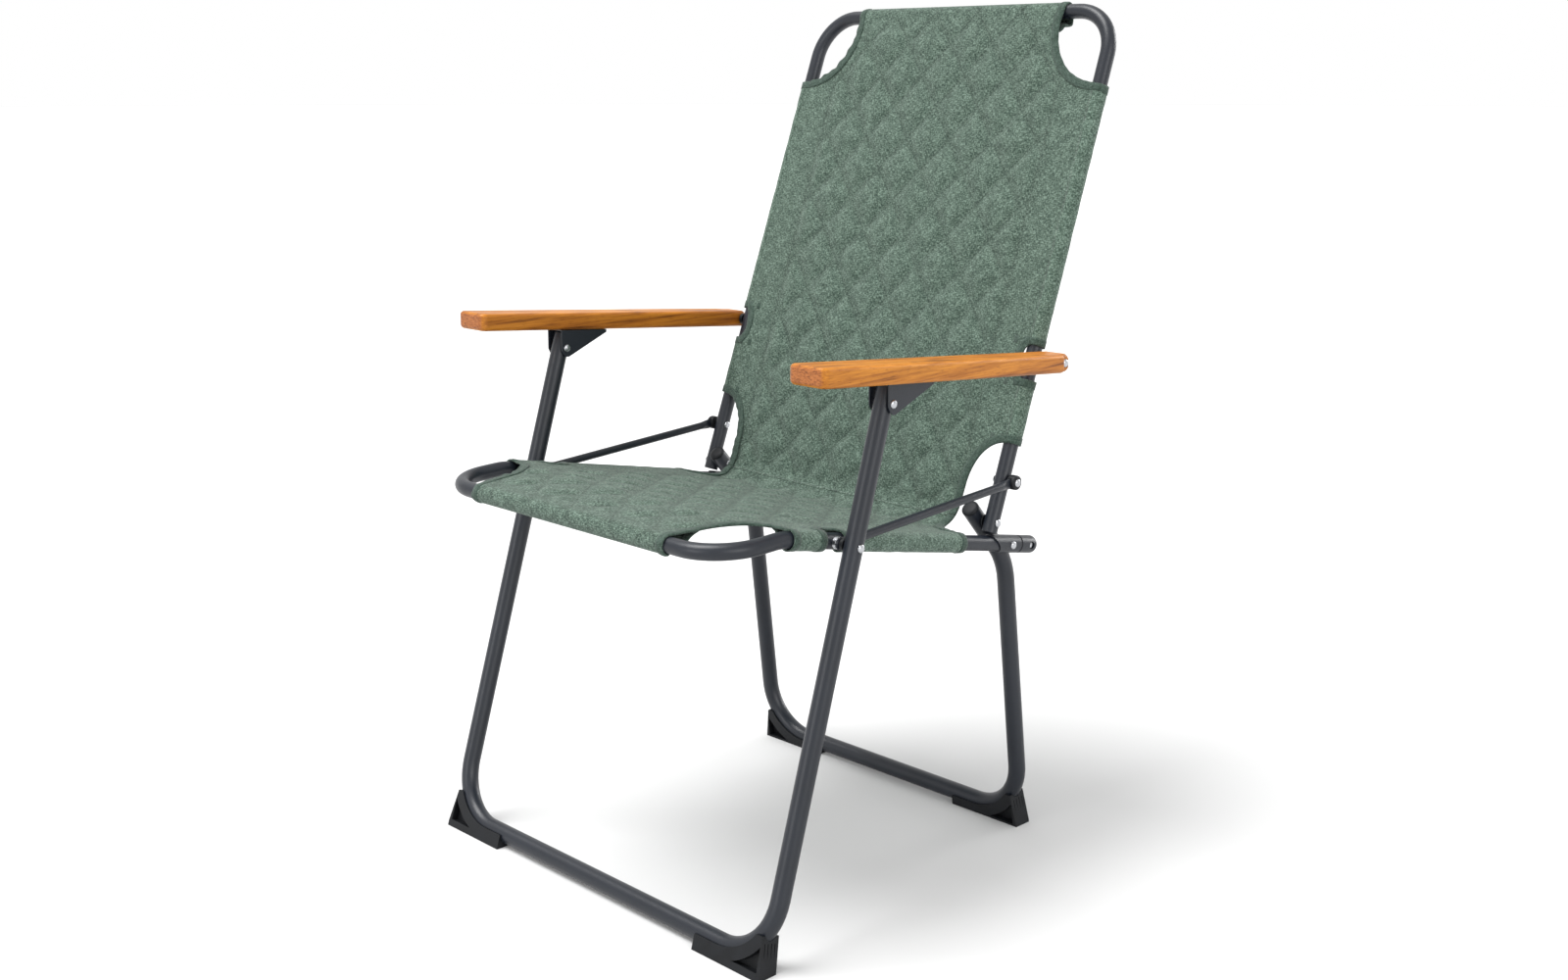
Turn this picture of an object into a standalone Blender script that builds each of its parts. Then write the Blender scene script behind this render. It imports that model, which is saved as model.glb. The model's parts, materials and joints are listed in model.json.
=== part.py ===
"""Folding camp chair with wooden armrests, modelled open.

Metres, +Z up.  The chair faces -Y, the sitter's left side is +X, the floor is Z = 0 and the
origin is the middle of the footprint.  Side-view positions are written as (y, z) pairs.
"""
import math

import bmesh
import bpy
from mathutils import Matrix, Vector

# ---------------------------------------------------------------- driving dimensions
LEG_RADIUS = 0.011            # front and rear leg tubes, 22 mm
FRAME_RADIUS = 0.0095         # seat and back tubes, 19 mm
WALL = 0.0012                 # tube wall
GAP = 0.0003                  # clearance between touching pieces
TUBE_SIDES = 14

LEG_X = 0.2885                # half widths to the tube axes
FRAME_X = 0.2520
REAR_X = 0.2290
ROD_X = 0.2695

Y_FRONT_FOOT = -0.3094        # where the front leg axis meets the floor
BAR_Z = 0.0138                # axis of both floor bars
LEG_SLOPE = 0.2993            # y per z of the front leg
REAR_SLOPE = -0.1218
BACK_SLOPE = 0.3735
SEAT_SLOPE = -0.1950          # z per y of the seat tube

SEAT_PIVOT = (Y_FRONT_FOOT + 0.4483, 0.3933)      # seat to rear leg
BACK_PIVOT = (Y_FRONT_FOOT + 0.4192, 0.4257)      # back to rear leg
REAR_FOOT_Y = Y_FRONT_FOOT + 0.5191               # rear leg axis at the floor
ROD_ABOVE = 0.0526            # side rod pivot above the back pivot, along the back tube
ARM_ABOVE = 0.2062            # armrest bolt above the back pivot
TOP_ABOVE = 0.6568            # top bar above the back pivot
BACK_TAIL = 0.0125            # back tube below its pivot
LEG_AHEAD = 0.31828           # front leg pivot ahead of the seat pivot, along the seat tube
ARM_UP_LEG = 0.1608           # armrest pivot above the front leg pivot, along the leg
SEAT_TAIL = 0.0530            # seat end cap behind the seat pivot
KINK_AHEAD = 0.3957           # where the seat tube levels off
RAIL_POINT = (Y_FRONT_FOOT - 0.0300, 0.4654)      # seat front rail

LEG_BEND = 0.070
BACK_BEND = 0.058
SEAT_BEND = 0.060
KINK_BEND = 0.080
KNEE_BEND = 0.085

FABRIC = 0.003
ARM_INNER_X = 0.2675
ARM_OUTER_X = 0.3110            # at the rear step
ARM_FRONT_INNER_X = 0.2725
ARM_FRONT_OUTER_X = 0.3275
ARM_THICK = 0.0225
ARM_FRONT_Y = Y_FRONT_FOOT + 0.0490
ARM_REAR_Y = Y_FRONT_FOOT + 0.5010
ARM_SLOPE = -0.0797           # z per y of the armrest

SHANK = 0.0028                # rivet shank radius
HOLE = SHANK + GAP
HEAD = 0.0049                 # rivet head radius
DOME = 0.0022                 # rivet head height

SIDES = {"left": 1, "right": -1}


# ---------------------------------------------------------------- side-view geometry
def unit(y, z):
    length = math.hypot(y, z)
    return (y / length, z / length)


BACK_DIR = unit(BACK_SLOPE, 1.0)                  # up the back
BACK_FRONT = (-BACK_DIR[1], BACK_DIR[0])          # out of the front of the back
SEAT_DIR = unit(-1.0, -SEAT_SLOPE)                # forward along the seat
SEAT_UP = (SEAT_DIR[1], -SEAT_DIR[0])
LEG_DIR = unit(LEG_SLOPE, 1.0)
REAR_DIR = unit(REAR_SLOPE, 1.0)


def along(start, direction, distance, normal=(0.0, 0.0), offset=0.0):
    return (start[0] + direction[0] * distance + normal[0] * offset,
            start[1] + direction[1] * distance + normal[1] * offset)


def on_back(above, front=0.0):
    return along(BACK_PIVOT, BACK_DIR, above, BACK_FRONT, front)


def on_seat(ahead, up=0.0):
    return along(SEAT_PIVOT, SEAT_DIR, ahead, SEAT_UP, up)


LEG_PIVOT = on_seat(LEG_AHEAD)                    # front leg, seat and rod share it
ARM_PIVOT = along(LEG_PIVOT, LEG_DIR, ARM_UP_LEG)
ROD_PIVOT = on_back(ROD_ABOVE)
ARM_BOLT = on_back(ARM_ABOVE)
FRONT_BAR = (Y_FRONT_FOOT + LEG_SLOPE * BAR_Z, BAR_Z)
REAR_BAR = (REAR_FOOT_Y + REAR_SLOPE * BAR_Z, BAR_Z)
HINGE_DIR = unit(SEAT_PIVOT[0] - BACK_PIVOT[0], SEAT_PIVOT[1] - BACK_PIVOT[1])
REAR_TIP = along(BACK_PIVOT, HINGE_DIR, -0.019)


def rear_knee():
    """Point where the short upper run of the rear leg meets the long lower run."""
    run = (REAR_FOOT_Y + REAR_SLOPE * SEAT_PIVOT[1] - SEAT_PIVOT[0])
    run /= HINGE_DIR[0] - REAR_SLOPE * HINGE_DIR[1]
    return along(SEAT_PIVOT, HINGE_DIR, run)


def in_x(x, yz):
    return Vector((x, yz[0], yz[1]))


# ---------------------------------------------------------------- scene helpers
def clear_scene():
    for obj in list(bpy.data.objects):
        bpy.data.objects.remove(obj, do_unlink=True)


def make_material(name, colour, roughness, metallic=0.0):
    material = bpy.data.materials.new(name)
    material.use_nodes = True
    shader = material.node_tree.nodes["Principled BSDF"]
    shader.inputs["Base Color"].default_value = (*colour, 1.0)
    shader.inputs["Roughness"].default_value = roughness
    shader.inputs["Metallic"].default_value = metallic
    return material


def make_materials():
    return {
        "frame": make_material("powder_coat", (0.045, 0.050, 0.062), 0.45, 0.3),
        "fabric": make_material("melange_fabric", (0.150, 0.215, 0.170), 0.95),
        "wood": make_material("oiled_wood", (0.520, 0.220, 0.060), 0.55),
        "plastic": make_material("dark_plastic", (0.012, 0.014, 0.017), 0.50),
        "zinc": make_material("zinc", (0.720, 0.730, 0.750), 0.25, 1.0),
    }


def make_bodies():
    """One empty for each moving body, standing on its pivot."""
    pivots = {
        "seat": SEAT_PIVOT, "rear_legs": SEAT_PIVOT, "back": BACK_PIVOT,
        "front_legs": LEG_PIVOT, "side_rods": LEG_PIVOT, "armrests": ARM_PIVOT,
    }
    bodies = {}
    for name, pivot in pivots.items():
        empty = bpy.data.objects.new("body_" + name, None)
        empty.location = in_x(0.0, pivot)
        bpy.context.collection.objects.link(empty)
        bodies[name] = empty
    return bodies


def finish(name, bm, material, body, smooth=True):
    """Turn a bmesh in world coordinates into a named object that hangs on its body."""
    bmesh.ops.recalc_face_normals(bm, faces=bm.faces)
    mesh = bpy.data.meshes.new(name)
    bm.to_mesh(mesh)
    bm.free()
    if smooth:
        mesh.shade_smooth()
        mesh.set_sharp_from_angle(angle=math.radians(40))
    obj = bpy.data.objects.new(name, mesh)
    bpy.context.collection.objects.link(obj)
    if body is not None:
        obj.parent = body
        obj.matrix_parent_inverse = Matrix.Translation(-body.location)
    if material is not None:
        mesh.materials.append(material)
    return obj


def cut(obj, cutter):
    cutter.hide_render = True
    cutter.display_type = "WIRE"
    modifier = obj.modifiers.new("cut_" + cutter.name, "BOOLEAN")
    modifier.operation = "DIFFERENCE"
    modifier.object = cutter


# ---------------------------------------------------------------- shape makers
def fillet_path(points, bends, steps=7):
    """Polyline with each inner corner rounded to its own radius."""
    path = [points[0]]
    for before, corner, after, radius in zip(points, points[1:], points[2:], bends):
        incoming = (before - corner).normalized()
        outgoing = (after - corner).normalized()
        half = incoming.angle(outgoing) / 2.0
        reach = radius / math.tan(half)
        centre = corner + (incoming + outgoing).normalized() * (radius / math.sin(half))
        first = corner + incoming * reach - centre
        last = corner + outgoing * reach - centre
        count = max(3, round(steps * first.angle(last) / (math.pi / 2.0)))
        for i in range(count + 1):
            path.append(centre + first.slerp(last, i / count) * radius)
    path.append(points[-1])
    return path


def sweep_frames(path):
    """A frame of two cross directions at each point, carried along without twist."""
    tangents = []
    for i in range(len(path)):
        tangents.append((path[min(i + 1, len(path) - 1)] - path[max(i - 1, 0)]).normalized())
    across = tangents[0].cross(Vector((0.0, 1.0, 0.0))).normalized()
    frames = []
    for i, tangent in enumerate(tangents):
        if i:
            across = tangents[i - 1].rotation_difference(tangent) @ across
        across = (across - tangent * across.dot(tangent)).normalized()
        frames.append((across, tangent.cross(across)))
    return frames


def sweep_rings(bm, path, radius, sides):
    rings = []
    for point, (across, other) in zip(path, sweep_frames(path)):
        ring = []
        for i in range(sides):
            angle = 2.0 * math.pi * (i + 0.5) / sides
            offset = across * math.cos(angle) + other * math.sin(angle)
            ring.append(bm.verts.new(point + offset * radius))
        rings.append(ring)
    return rings


def join_rings(bm, rings, close=False):
    """Quads between neighbouring rings; close also joins the last ring to the first."""
    pairs = list(zip(rings, rings[1:]))
    if close:
        pairs.append((rings[-1], rings[0]))
    for first, second in pairs:
        count = len(first)
        for i in range(count):
            k = (i + 1) % count
            bm.faces.new((first[i], first[k], second[k], second[i]))


def tube(name, path, radius, material, body, wall=WALL, sides=TUBE_SIDES):
    """Hollow bent tube with open ends."""
    bm = bmesh.new()
    outer = sweep_rings(bm, path, radius, sides)
    inner = sweep_rings(bm, path, radius - wall, sides)
    join_rings(bm, outer + inner[::-1], close=True)
    return finish(name, bm, material, body)


def solid_sweep(name, path, radius, sides=TUBE_SIDES):
    bm = bmesh.new()
    rings = sweep_rings(bm, path, radius, sides)
    join_rings(bm, rings)
    bm.faces.new(rings[0])
    bm.faces.new(rings[-1])
    return finish(name, bm, None, None, smooth=False)


def turned(name, start, direction, profile, material, body, sides=12, ring=False):
    """Turned piece: profile is a list of (distance along the axis, radius)."""
    bm = bmesh.new()
    axis = direction.normalized()
    across = axis.cross(Vector((0.0, 1.0, 0.3))).normalized()
    other = axis.cross(across)
    rings = []
    for distance, radius in profile:
        loop = []
        for i in range(sides):
            angle = 2.0 * math.pi * i / sides
            offset = across * math.cos(angle) + other * math.sin(angle)
            loop.append(bm.verts.new(start + axis * distance + offset * radius))
        rings.append(loop)
    join_rings(bm, rings, close=ring)
    if not ring:
        bm.faces.new(rings[0])
        bm.faces.new(rings[-1])
    return finish(name, bm, material, body)


def cross_hole(name, yz, x_from, x_to, radius=HOLE):
    """Straight cutter along X."""
    low, high = sorted((x_from, x_to))
    profile = [(0.0, radius), (high - low, radius)]
    return turned(name, in_x(low, yz), Vector((1.0, 0.0, 0.0)), profile, None, None, sides=10)


def rivet(name, yz, x_inner, x_outer, side, materials, body, inner_head=True):
    """Domed rivet along X from x_inner to x_outer, the faces that its heads rest on."""
    grip = x_outer - x_inner
    profile = []
    if inner_head:
        profile += [(-DOME, HEAD * 0.45), (-DOME * 0.55, HEAD * 0.85), (-GAP, HEAD), (-GAP, SHANK)]
    else:
        profile += [(0.0, SHANK)]
    profile += [(grip + GAP, SHANK), (grip + GAP, HEAD), (grip + DOME * 0.55, HEAD * 0.85),
                (grip + DOME, HEAD * 0.45)]
    return turned(name, in_x(side * x_inner, yz), Vector((side, 0.0, 0.0)), profile,
                  materials["zinc"], body)


def washer(name, yz, x_inner, x_outer, side, radius, bore, material, body):
    grip = x_outer - x_inner
    profile = [(0.0, bore), (0.0, radius), (grip, radius), (grip, bore)]
    return turned(name, in_x(side * x_inner, yz), Vector((side, 0.0, 0.0)), profile,
                  material, body, ring=True)


def prism(name, outline, low, high, place, material, body, smooth=False):
    """Extrude a flat outline; place(u, v, w) maps it into the world."""
    bm = bmesh.new()
    bottom = [bm.verts.new(place(u, v, low)) for u, v in outline]
    top = [bm.verts.new(place(u, v, high)) for u, v in outline]
    join_rings(bm, [bottom, top])
    bm.faces.new(bottom)
    bm.faces.new(top)
    return finish(name, bm, material, body, smooth=smooth)


def round_outline(points, radii, steps=4):
    """Closed 2-D outline with rounded corners."""
    outline = []
    count = len(points)
    for i, radius in enumerate(radii):
        corner = Vector(points[i])
        before = (Vector(points[i - 1]) - corner).normalized()
        after = (Vector(points[(i + 1) % count]) - corner).normalized()
        if radius == 0.0:
            outline.append(tuple(corner))
            continue
        half = before.angle(after) / 2.0
        centre = corner + (before + after).normalized() * (radius / math.sin(half))
        first = corner + before * (radius / math.tan(half)) - centre
        last = corner + after * (radius / math.tan(half)) - centre
        turn = first.angle_signed(last)
        for k in range(steps + 1):
            swing = Matrix.Rotation(-turn * k / steps, 2)
            outline.append(tuple(centre + swing @ first))
    return outline


# ---------------------------------------------------------------- frames
def mirror_path(half):
    """Left half of a symmetric U, from its free end, completed by the right half."""
    return half + [Vector((-p.x, p.y, p.z)) for p in reversed(half)]


def front_leg_path():
    top = along(ARM_PIVOT, LEG_DIR, 0.0180)
    points = mirror_path([in_x(LEG_X, top), in_x(LEG_X, FRONT_BAR)])
    return fillet_path(points, [LEG_BEND, LEG_BEND])


def rear_leg_path():
    half = [in_x(REAR_X, REAR_TIP), in_x(REAR_X, rear_knee()), in_x(REAR_X, REAR_BAR)]
    return fillet_path(mirror_path(half), [KNEE_BEND, LEG_BEND, LEG_BEND, KNEE_BEND])


def back_path():
    half = [in_x(FRAME_X, on_back(-BACK_TAIL)), in_x(FRAME_X, on_back(TOP_ABOVE))]
    return fillet_path(mirror_path(half), [BACK_BEND, BACK_BEND])


def seat_path():
    half = [in_x(FRAME_X, on_seat(-0.0150)), in_x(FRAME_X, on_seat(KINK_AHEAD)),
            in_x(FRAME_X, RAIL_POINT)]
    return fillet_path(mirror_path(half), [KINK_BEND, SEAT_BEND, SEAT_BEND, KINK_BEND])


def make_frames(materials, bodies):
    seat = tube("seat_frame", seat_path(), FRAME_RADIUS, materials["frame"], bodies["seat"])
    back = tube("back_frame", back_path(), FRAME_RADIUS, materials["frame"], bodies["back"])
    front = tube("front_leg_frame", front_leg_path(), LEG_RADIUS, materials["frame"],
                 bodies["front_legs"])
    rear = tube("rear_leg_frame", rear_leg_path(), LEG_RADIUS, materials["frame"],
                bodies["rear_legs"])
    for side, s in SIDES.items():
        frame_in, frame_out = s * (FRAME_X - 0.02), s * (FRAME_X + 0.02)
        cut(seat, cross_hole("hole_seat_leg_" + side, LEG_PIVOT, frame_in, frame_out))
        cut(seat, cross_hole("hole_seat_rear_" + side, SEAT_PIVOT, frame_in, frame_out))
        cut(back, cross_hole("hole_back_rear_" + side, BACK_PIVOT, frame_in, frame_out))
        cut(back, cross_hole("hole_back_rod_" + side, ROD_PIVOT, frame_in, frame_out))
        cut(back, cross_hole("hole_back_arm_" + side, ARM_BOLT, frame_in, frame_out))
        rear_in, rear_out = s * (REAR_X - 0.02), s * (REAR_X + 0.02)
        cut(rear, cross_hole("hole_rear_back_" + side, BACK_PIVOT, rear_in, rear_out))
        cut(rear, cross_hole("hole_rear_seat_" + side, SEAT_PIVOT, rear_in, rear_out))
        leg_in, leg_out = s * (LEG_X - 0.02), s * (LEG_X + 0.02)
        cut(front, cross_hole("hole_leg_seat_" + side, LEG_PIVOT, leg_in, leg_out))
        cut(front, cross_hole("hole_leg_arm_" + side, ARM_PIVOT, leg_in, leg_out))


# ---------------------------------------------------------------- seat hinge ends
SLEEVE_RADIUS = 0.0112
SLEEVE_BACK = -0.0170
SLEEVE_TOP, SLEEVE_BOTTOM = 0.037, 0.017


def hinge_sleeve(side, s, materials, body):
    """Short sleeve round the rear end of the seat tube, with a slanted front edge."""
    bm = bmesh.new()
    rings = []
    bore = FRAME_RADIUS + GAP
    for front, radius in ((False, bore), (False, SLEEVE_RADIUS), (True, SLEEVE_RADIUS), (True, bore)):
        ring = []
        for i in range(TUBE_SIDES):
            angle = 2.0 * math.pi * (i + 0.5) / TUBE_SIDES
            up = math.cos(angle)
            slant = (SLEEVE_TOP + SLEEVE_BOTTOM + (SLEEVE_TOP - SLEEVE_BOTTOM) * up) / 2.0
            ahead = slant if front else SLEEVE_BACK
            yz = on_seat(ahead, radius * up)
            ring.append(bm.verts.new(in_x(s * (FRAME_X + radius * math.sin(angle)), yz)))
        rings.append(ring)
    join_rings(bm, rings, close=True)
    sleeve = finish("hinge_sleeve_" + side, bm, materials["frame"], body)
    cut(sleeve, cross_hole("hole_sleeve_" + side, SEAT_PIVOT, s * 0.23, s * 0.27))


def seat_end(side, s, materials, body):
    """Plastic ring, end cap with its screw, and the sleeve on one seat tube end."""
    hinge_sleeve(side, s, materials, body)
    back_dir = in_x(0.0, SEAT_DIR) * -1.0
    start = in_x(s * FRAME_X, on_seat(SLEEVE_BACK - GAP))
    washer_profile = [(0.0, 0.0040), (0.0, 0.0104), (0.0020, 0.0104), (0.0020, 0.0040)]
    turned("seat_end_ring_" + side, start, back_dir, washer_profile, materials["plastic"],
           body, sides=14, ring=True)
    cap_start = in_x(s * FRAME_X, on_seat(SLEEVE_BACK - 0.0026))
    length = SEAT_TAIL + SLEEVE_BACK - 0.0026
    profile = [(0.0, 0.0112), (length - 0.007, 0.0112), (length - 0.003, 0.0092),
               (length - 0.0008, 0.0055), (length, 0.0020)]
    cap = turned("seat_end_cap_" + side, cap_start, back_dir, profile, materials["plastic"],
                 body, sides=14)
    screw_at = on_seat(-0.0385)
    pocket = s * (FRAME_X + 0.0075)
    cut(cap, cross_hole("pocket_cap_" + side, screw_at, pocket, s * (FRAME_X + 0.02), 0.0046))
    cut(cap, cross_hole("hole_cap_" + side, screw_at, s * (FRAME_X - 0.0040), pocket + s * 0.001,
                        0.0018))
    profile = [(0.0, 0.0015), (0.0112, 0.0015), (0.0112, 0.0036), (0.0128, 0.0030)]
    turned("cap_screw_" + side, in_x(s * (FRAME_X - 0.0032), screw_at), Vector((s, 0.0, 0.0)),
           profile, materials["zinc"], body)


def rear_leg_plug(side, s, materials, body):
    """Plastic plug in the upper end of a rear leg tube."""
    outward = in_x(0.0, HINGE_DIR) * -1.0
    start = in_x(s * REAR_X, along(REAR_TIP, HINGE_DIR, 0.010))
    bore = LEG_RADIUS - WALL - GAP
    profile = [(0.0, bore * 0.9), (0.010 + GAP, bore * 0.97), (0.010 + GAP, LEG_RADIUS),
               (0.0120, LEG_RADIUS), (0.0145, LEG_RADIUS * 0.82), (0.0155, LEG_RADIUS * 0.4)]
    turned("rear_leg_plug_" + side, start, outward, profile, materials["plastic"], body, sides=14)


# ---------------------------------------------------------------- foot caps
CAP_HALF_WIDTH = 0.0132
CAP_LENGTH = 0.108            # along the floor, inwards from the outer end


def foot_cap(name, s, half_x, bar, leg_dir, path, materials, body):
    """Saddle under one lower corner of a leg frame, with a flat sole on the floor."""
    outer = half_x + 0.0040
    depth = 0.0250
    top = 0.0300
    normal = (-leg_dir[1], leg_dir[0])
    swing = math.acos(1.0 - top / LEG_BEND)
    outline = [(outer - CAP_LENGTH, -depth), (outer, -depth), (outer, -0.0120),
               (outer - 0.0075, top)]
    steps = 5
    for i in range(steps + 1):
        angle = swing * (1.0 - i / steps)
        outline.append((half_x - LEG_BEND + LEG_BEND * math.sin(angle),
                        LEG_BEND * (1.0 - math.cos(angle))))
    outline.append((outer - CAP_LENGTH, 0.0))

    def place(x, up, w):
        yz = along(bar, leg_dir, up, normal, w)
        return in_x(s * x, yz)

    cap = prism(name, outline, -CAP_HALF_WIDTH, CAP_HALF_WIDTH, place, materials["plastic"], body)
    cut(cap, solid_sweep("seat_of_" + name, path, LEG_RADIUS + GAP))
    cut(cap, floor_cutter(name, s * half_x, bar[0]))


def floor_cutter(name, x, y):
    reach = 0.20
    outline = [(-reach, -reach), (reach, -reach), (reach, reach), (-reach, reach)]
    return prism("floor_of_" + name, outline, -0.10, 0.0,
                 lambda u, v, w: Vector((x + u, y + v, w)), None, None)


def make_feet(materials, bodies):
    for side, s in SIDES.items():
        foot_cap("front_foot_cap_" + side, s, LEG_X, FRONT_BAR, LEG_DIR, front_leg_path(),
                 materials, bodies["front_legs"])
        foot_cap("rear_foot_cap_" + side, s, REAR_X, REAR_BAR, REAR_DIR, rear_leg_path(),
                 materials, bodies["rear_legs"])


# ---------------------------------------------------------------- armrests
TONGUE_X = 0.3020
TONGUE_LENGTH = 0.0230


def arm_point(y):
    """Middle of the armrest's thickness at y."""
    return ARM_BOLT[1] + ARM_SLOPE * (y - ARM_BOLT[0])


def armrest(side, s, materials, body):
    """Wooden armrest: a tilted board, wider in front, with a narrower tongue at its rear end."""
    step = ARM_REAR_Y - TONGUE_LENGTH
    points = [(ARM_FRONT_INNER_X, ARM_FRONT_Y), (ARM_FRONT_OUTER_X, ARM_FRONT_Y), (ARM_OUTER_X, step),
              (TONGUE_X, step + 0.006), (TONGUE_X, ARM_REAR_Y), (ARM_INNER_X, ARM_REAR_Y)]
    outline = round_outline(points, [0.010, 0.010, 0.004, 0.004, 0.003, 0.003], steps=3)

    def place(x, y, w):
        return Vector((s * x, y, arm_point(y) + w))

    half = ARM_THICK / 2.0
    board = prism("armrest_" + side, outline, -half, half, place, materials["wood"], body)
    bevel = board.modifiers.new("rounded_edges", "BEVEL")
    bevel.width = 0.0030
    bevel.segments = 2
    bevel.limit_method = "ANGLE"
    bevel.angle_limit = math.radians(50)
    cut(board, cross_hole("hole_arm_" + side, ARM_BOLT, s * 0.26, s * 0.31))
    return board


BRACKET_OUT = 0.0150          # half width of the bracket
SHEET = 0.0015
BRACKET_FRONT = Y_FRONT_FOOT + 0.1740
BRACKET_REAR = Y_FRONT_FOOT + 0.2485


def arm_underside(y):
    return arm_point(y) - ARM_THICK / 2.0 - GAP


def bracket(side, s, materials, body):
    """Folded sheet bracket: a top plate and two triangular cheeks."""
    depth = 0.0400
    outline = [(-BRACKET_OUT, 0.0), (BRACKET_OUT, 0.0), (BRACKET_OUT, -depth),
               (BRACKET_OUT - SHEET, -depth), (BRACKET_OUT - SHEET, -SHEET),
               (-BRACKET_OUT + SHEET, -SHEET), (-BRACKET_OUT + SHEET, -depth),
               (-BRACKET_OUT, -depth)]

    def place(u, v, y):
        return Vector((s * (LEG_X + u), y, arm_underside(y) + v))

    piece = prism("arm_bracket_" + side, outline, BRACKET_FRONT, BRACKET_REAR, place,
                  materials["frame"], body)
    tip_y, tip_z = ARM_PIVOT[0] + 0.0035, ARM_PIVOT[1] - 0.0118
    rear_z = arm_underside(BRACKET_REAR) - 0.0035
    wedge = [(BRACKET_FRONT - 0.01, tip_z - 0.04), (BRACKET_FRONT - 0.01, tip_z + 0.010),
             (BRACKET_FRONT, tip_z + 0.009), (BRACKET_FRONT + 0.0025, tip_z + 0.0035),
             (tip_y - 0.0045, tip_z), (tip_y, tip_z), (tip_y + 0.004, tip_z + 0.0017),
             (BRACKET_REAR, rear_z), (BRACKET_REAR + 0.01, rear_z + 0.004),
             (BRACKET_REAR + 0.01, tip_z - 0.04)]
    low, high = sorted((s * (LEG_X - 0.03), s * (LEG_X + 0.03)))
    cut(piece, prism("wedge_" + side, wedge, low, high, lambda u, v, w: Vector((w, u, v)), None, None))
    cut(piece, cross_hole("hole_bracket_" + side, ARM_PIVOT, low, high))
    return piece


def bracket_screw(name, s, y, board, plate, materials, body):
    """Screw up through the bracket plate into the wood."""
    up = Vector((0.0, -ARM_SLOPE, 1.0)).normalized()
    plate_z = arm_underside(y) - SHEET
    start = Vector((s * LEG_X, y, plate_z)) - up * 0.0018
    shank, thread = 0.0016, 0.0140
    for target in (board, plate):
        cutter = turned("hole_" + name + "_" + target.name, start, up,
                        [(0.0, shank + GAP), (thread + 0.0010, shank + GAP)], None, None, sides=8)
        cut(target, cutter)
    profile = [(0.0, 0.0026), (0.0015, 0.0034), (0.0015, shank), (thread, shank)]
    turned(name, start, up, profile, materials["zinc"], body, sides=8)


def make_armrests(materials, bodies):
    body = bodies["armrests"]
    for side, s in SIDES.items():
        board = armrest(side, s, materials, body)
        plate = bracket(side, s, materials, body)
        for end, y in (("front", ARM_PIVOT[0] + 0.0230), ("rear", ARM_PIVOT[0] + 0.0530)):
            bracket_screw(f"bracket_screw_{end}_{side}", s, y, board, plate, materials, body)
        rivet("bracket_rivet_" + side, ARM_PIVOT, LEG_X - BRACKET_OUT, LEG_X + BRACKET_OUT, s,
              materials, body)
        rivet("armrest_bolt_" + side, ARM_BOLT, ARM_INNER_X, TONGUE_X, s, materials, body,
              inner_head=False)


# ---------------------------------------------------------------- side rods
ROD_RADIUS = 0.0050
ROD_CAP_IN, ROD_CAP_OUT = 0.2648, 0.2756


def side_rod(side, s, materials, body):
    """Round rod with both ends pressed flat, from the front leg pivot to the back tube."""
    start, end = in_x(s * ROD_X, LEG_PIVOT), in_x(s * ROD_X, ROD_PIVOT)
    length = (end - start).length
    axis = (end - start).normalized()
    flat = Vector((s, 0.0, 0.0))
    wide = axis.cross(flat)
    stations = [(-0.0080, 0.0040, 0.0017), (-0.0055, 0.0068, 0.0020), (0.0, 0.0080, 0.0020),
                (0.0080, 0.0070, 0.0022), (0.0200, ROD_RADIUS, ROD_RADIUS),
                (length - 0.0260, ROD_RADIUS, ROD_RADIUS), (length - 0.0120, 0.0064, 0.0020),
                (length + 0.0030, 0.0062, 0.0015), (length + 0.0062, 0.0040, 0.0015)]
    bm = bmesh.new()
    sides = 12
    rings = []
    for distance, half_wide, half_flat in stations:
        ring = []
        for i in range(sides):
            angle = 2.0 * math.pi * i / sides
            offset = wide * (half_wide * math.cos(angle)) + flat * (half_flat * math.sin(angle))
            ring.append(bm.verts.new(start + axis * distance + offset))
        rings.append(ring)
    join_rings(bm, rings)
    bm.faces.new(rings[0])
    bm.faces.new(rings[-1])
    rod = finish("side_rod_" + side, bm, materials["frame"], body)
    cut(rod, cross_hole("hole_rod_front_" + side, LEG_PIVOT, s * 0.26, s * 0.28))
    cut(rod, cross_hole("hole_rod_rear_" + side, ROD_PIVOT, s * 0.26, s * 0.28))
    rod_cap(side, s, axis, wide, materials, body)


def rod_cap(side, s, axis, wide, materials, body):
    """Plastic cap over the rear end of a side rod, slotted for its flat end."""
    thick = ROD_CAP_OUT - ROD_CAP_IN
    profile = [(0.0, 0.0078), (0.0012, 0.0090), (thick - 0.0015, 0.0090), (thick, 0.0074)]
    cap = turned("rod_cap_" + side, in_x(s * ROD_CAP_IN, ROD_PIVOT), Vector((s, 0.0, 0.0)),
                 profile, materials["plastic"], body, sides=16)
    middle = in_x(s * ROD_X, ROD_PIVOT)
    outline = [(-0.0140, -0.0068), (0.0068, -0.0068), (0.0068, 0.0068), (-0.0140, 0.0068)]
    half_slot = 0.0024

    def place(u, v, w):
        return middle + axis * u + wide * v + Vector((w, 0.0, 0.0))

    cut(cap, prism("slot_" + side, outline, -half_slot, half_slot, place, None, None))
    cut(cap, cross_hole("hole_rod_cap_" + side, ROD_PIVOT, s * 0.26, s * 0.28))


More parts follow.
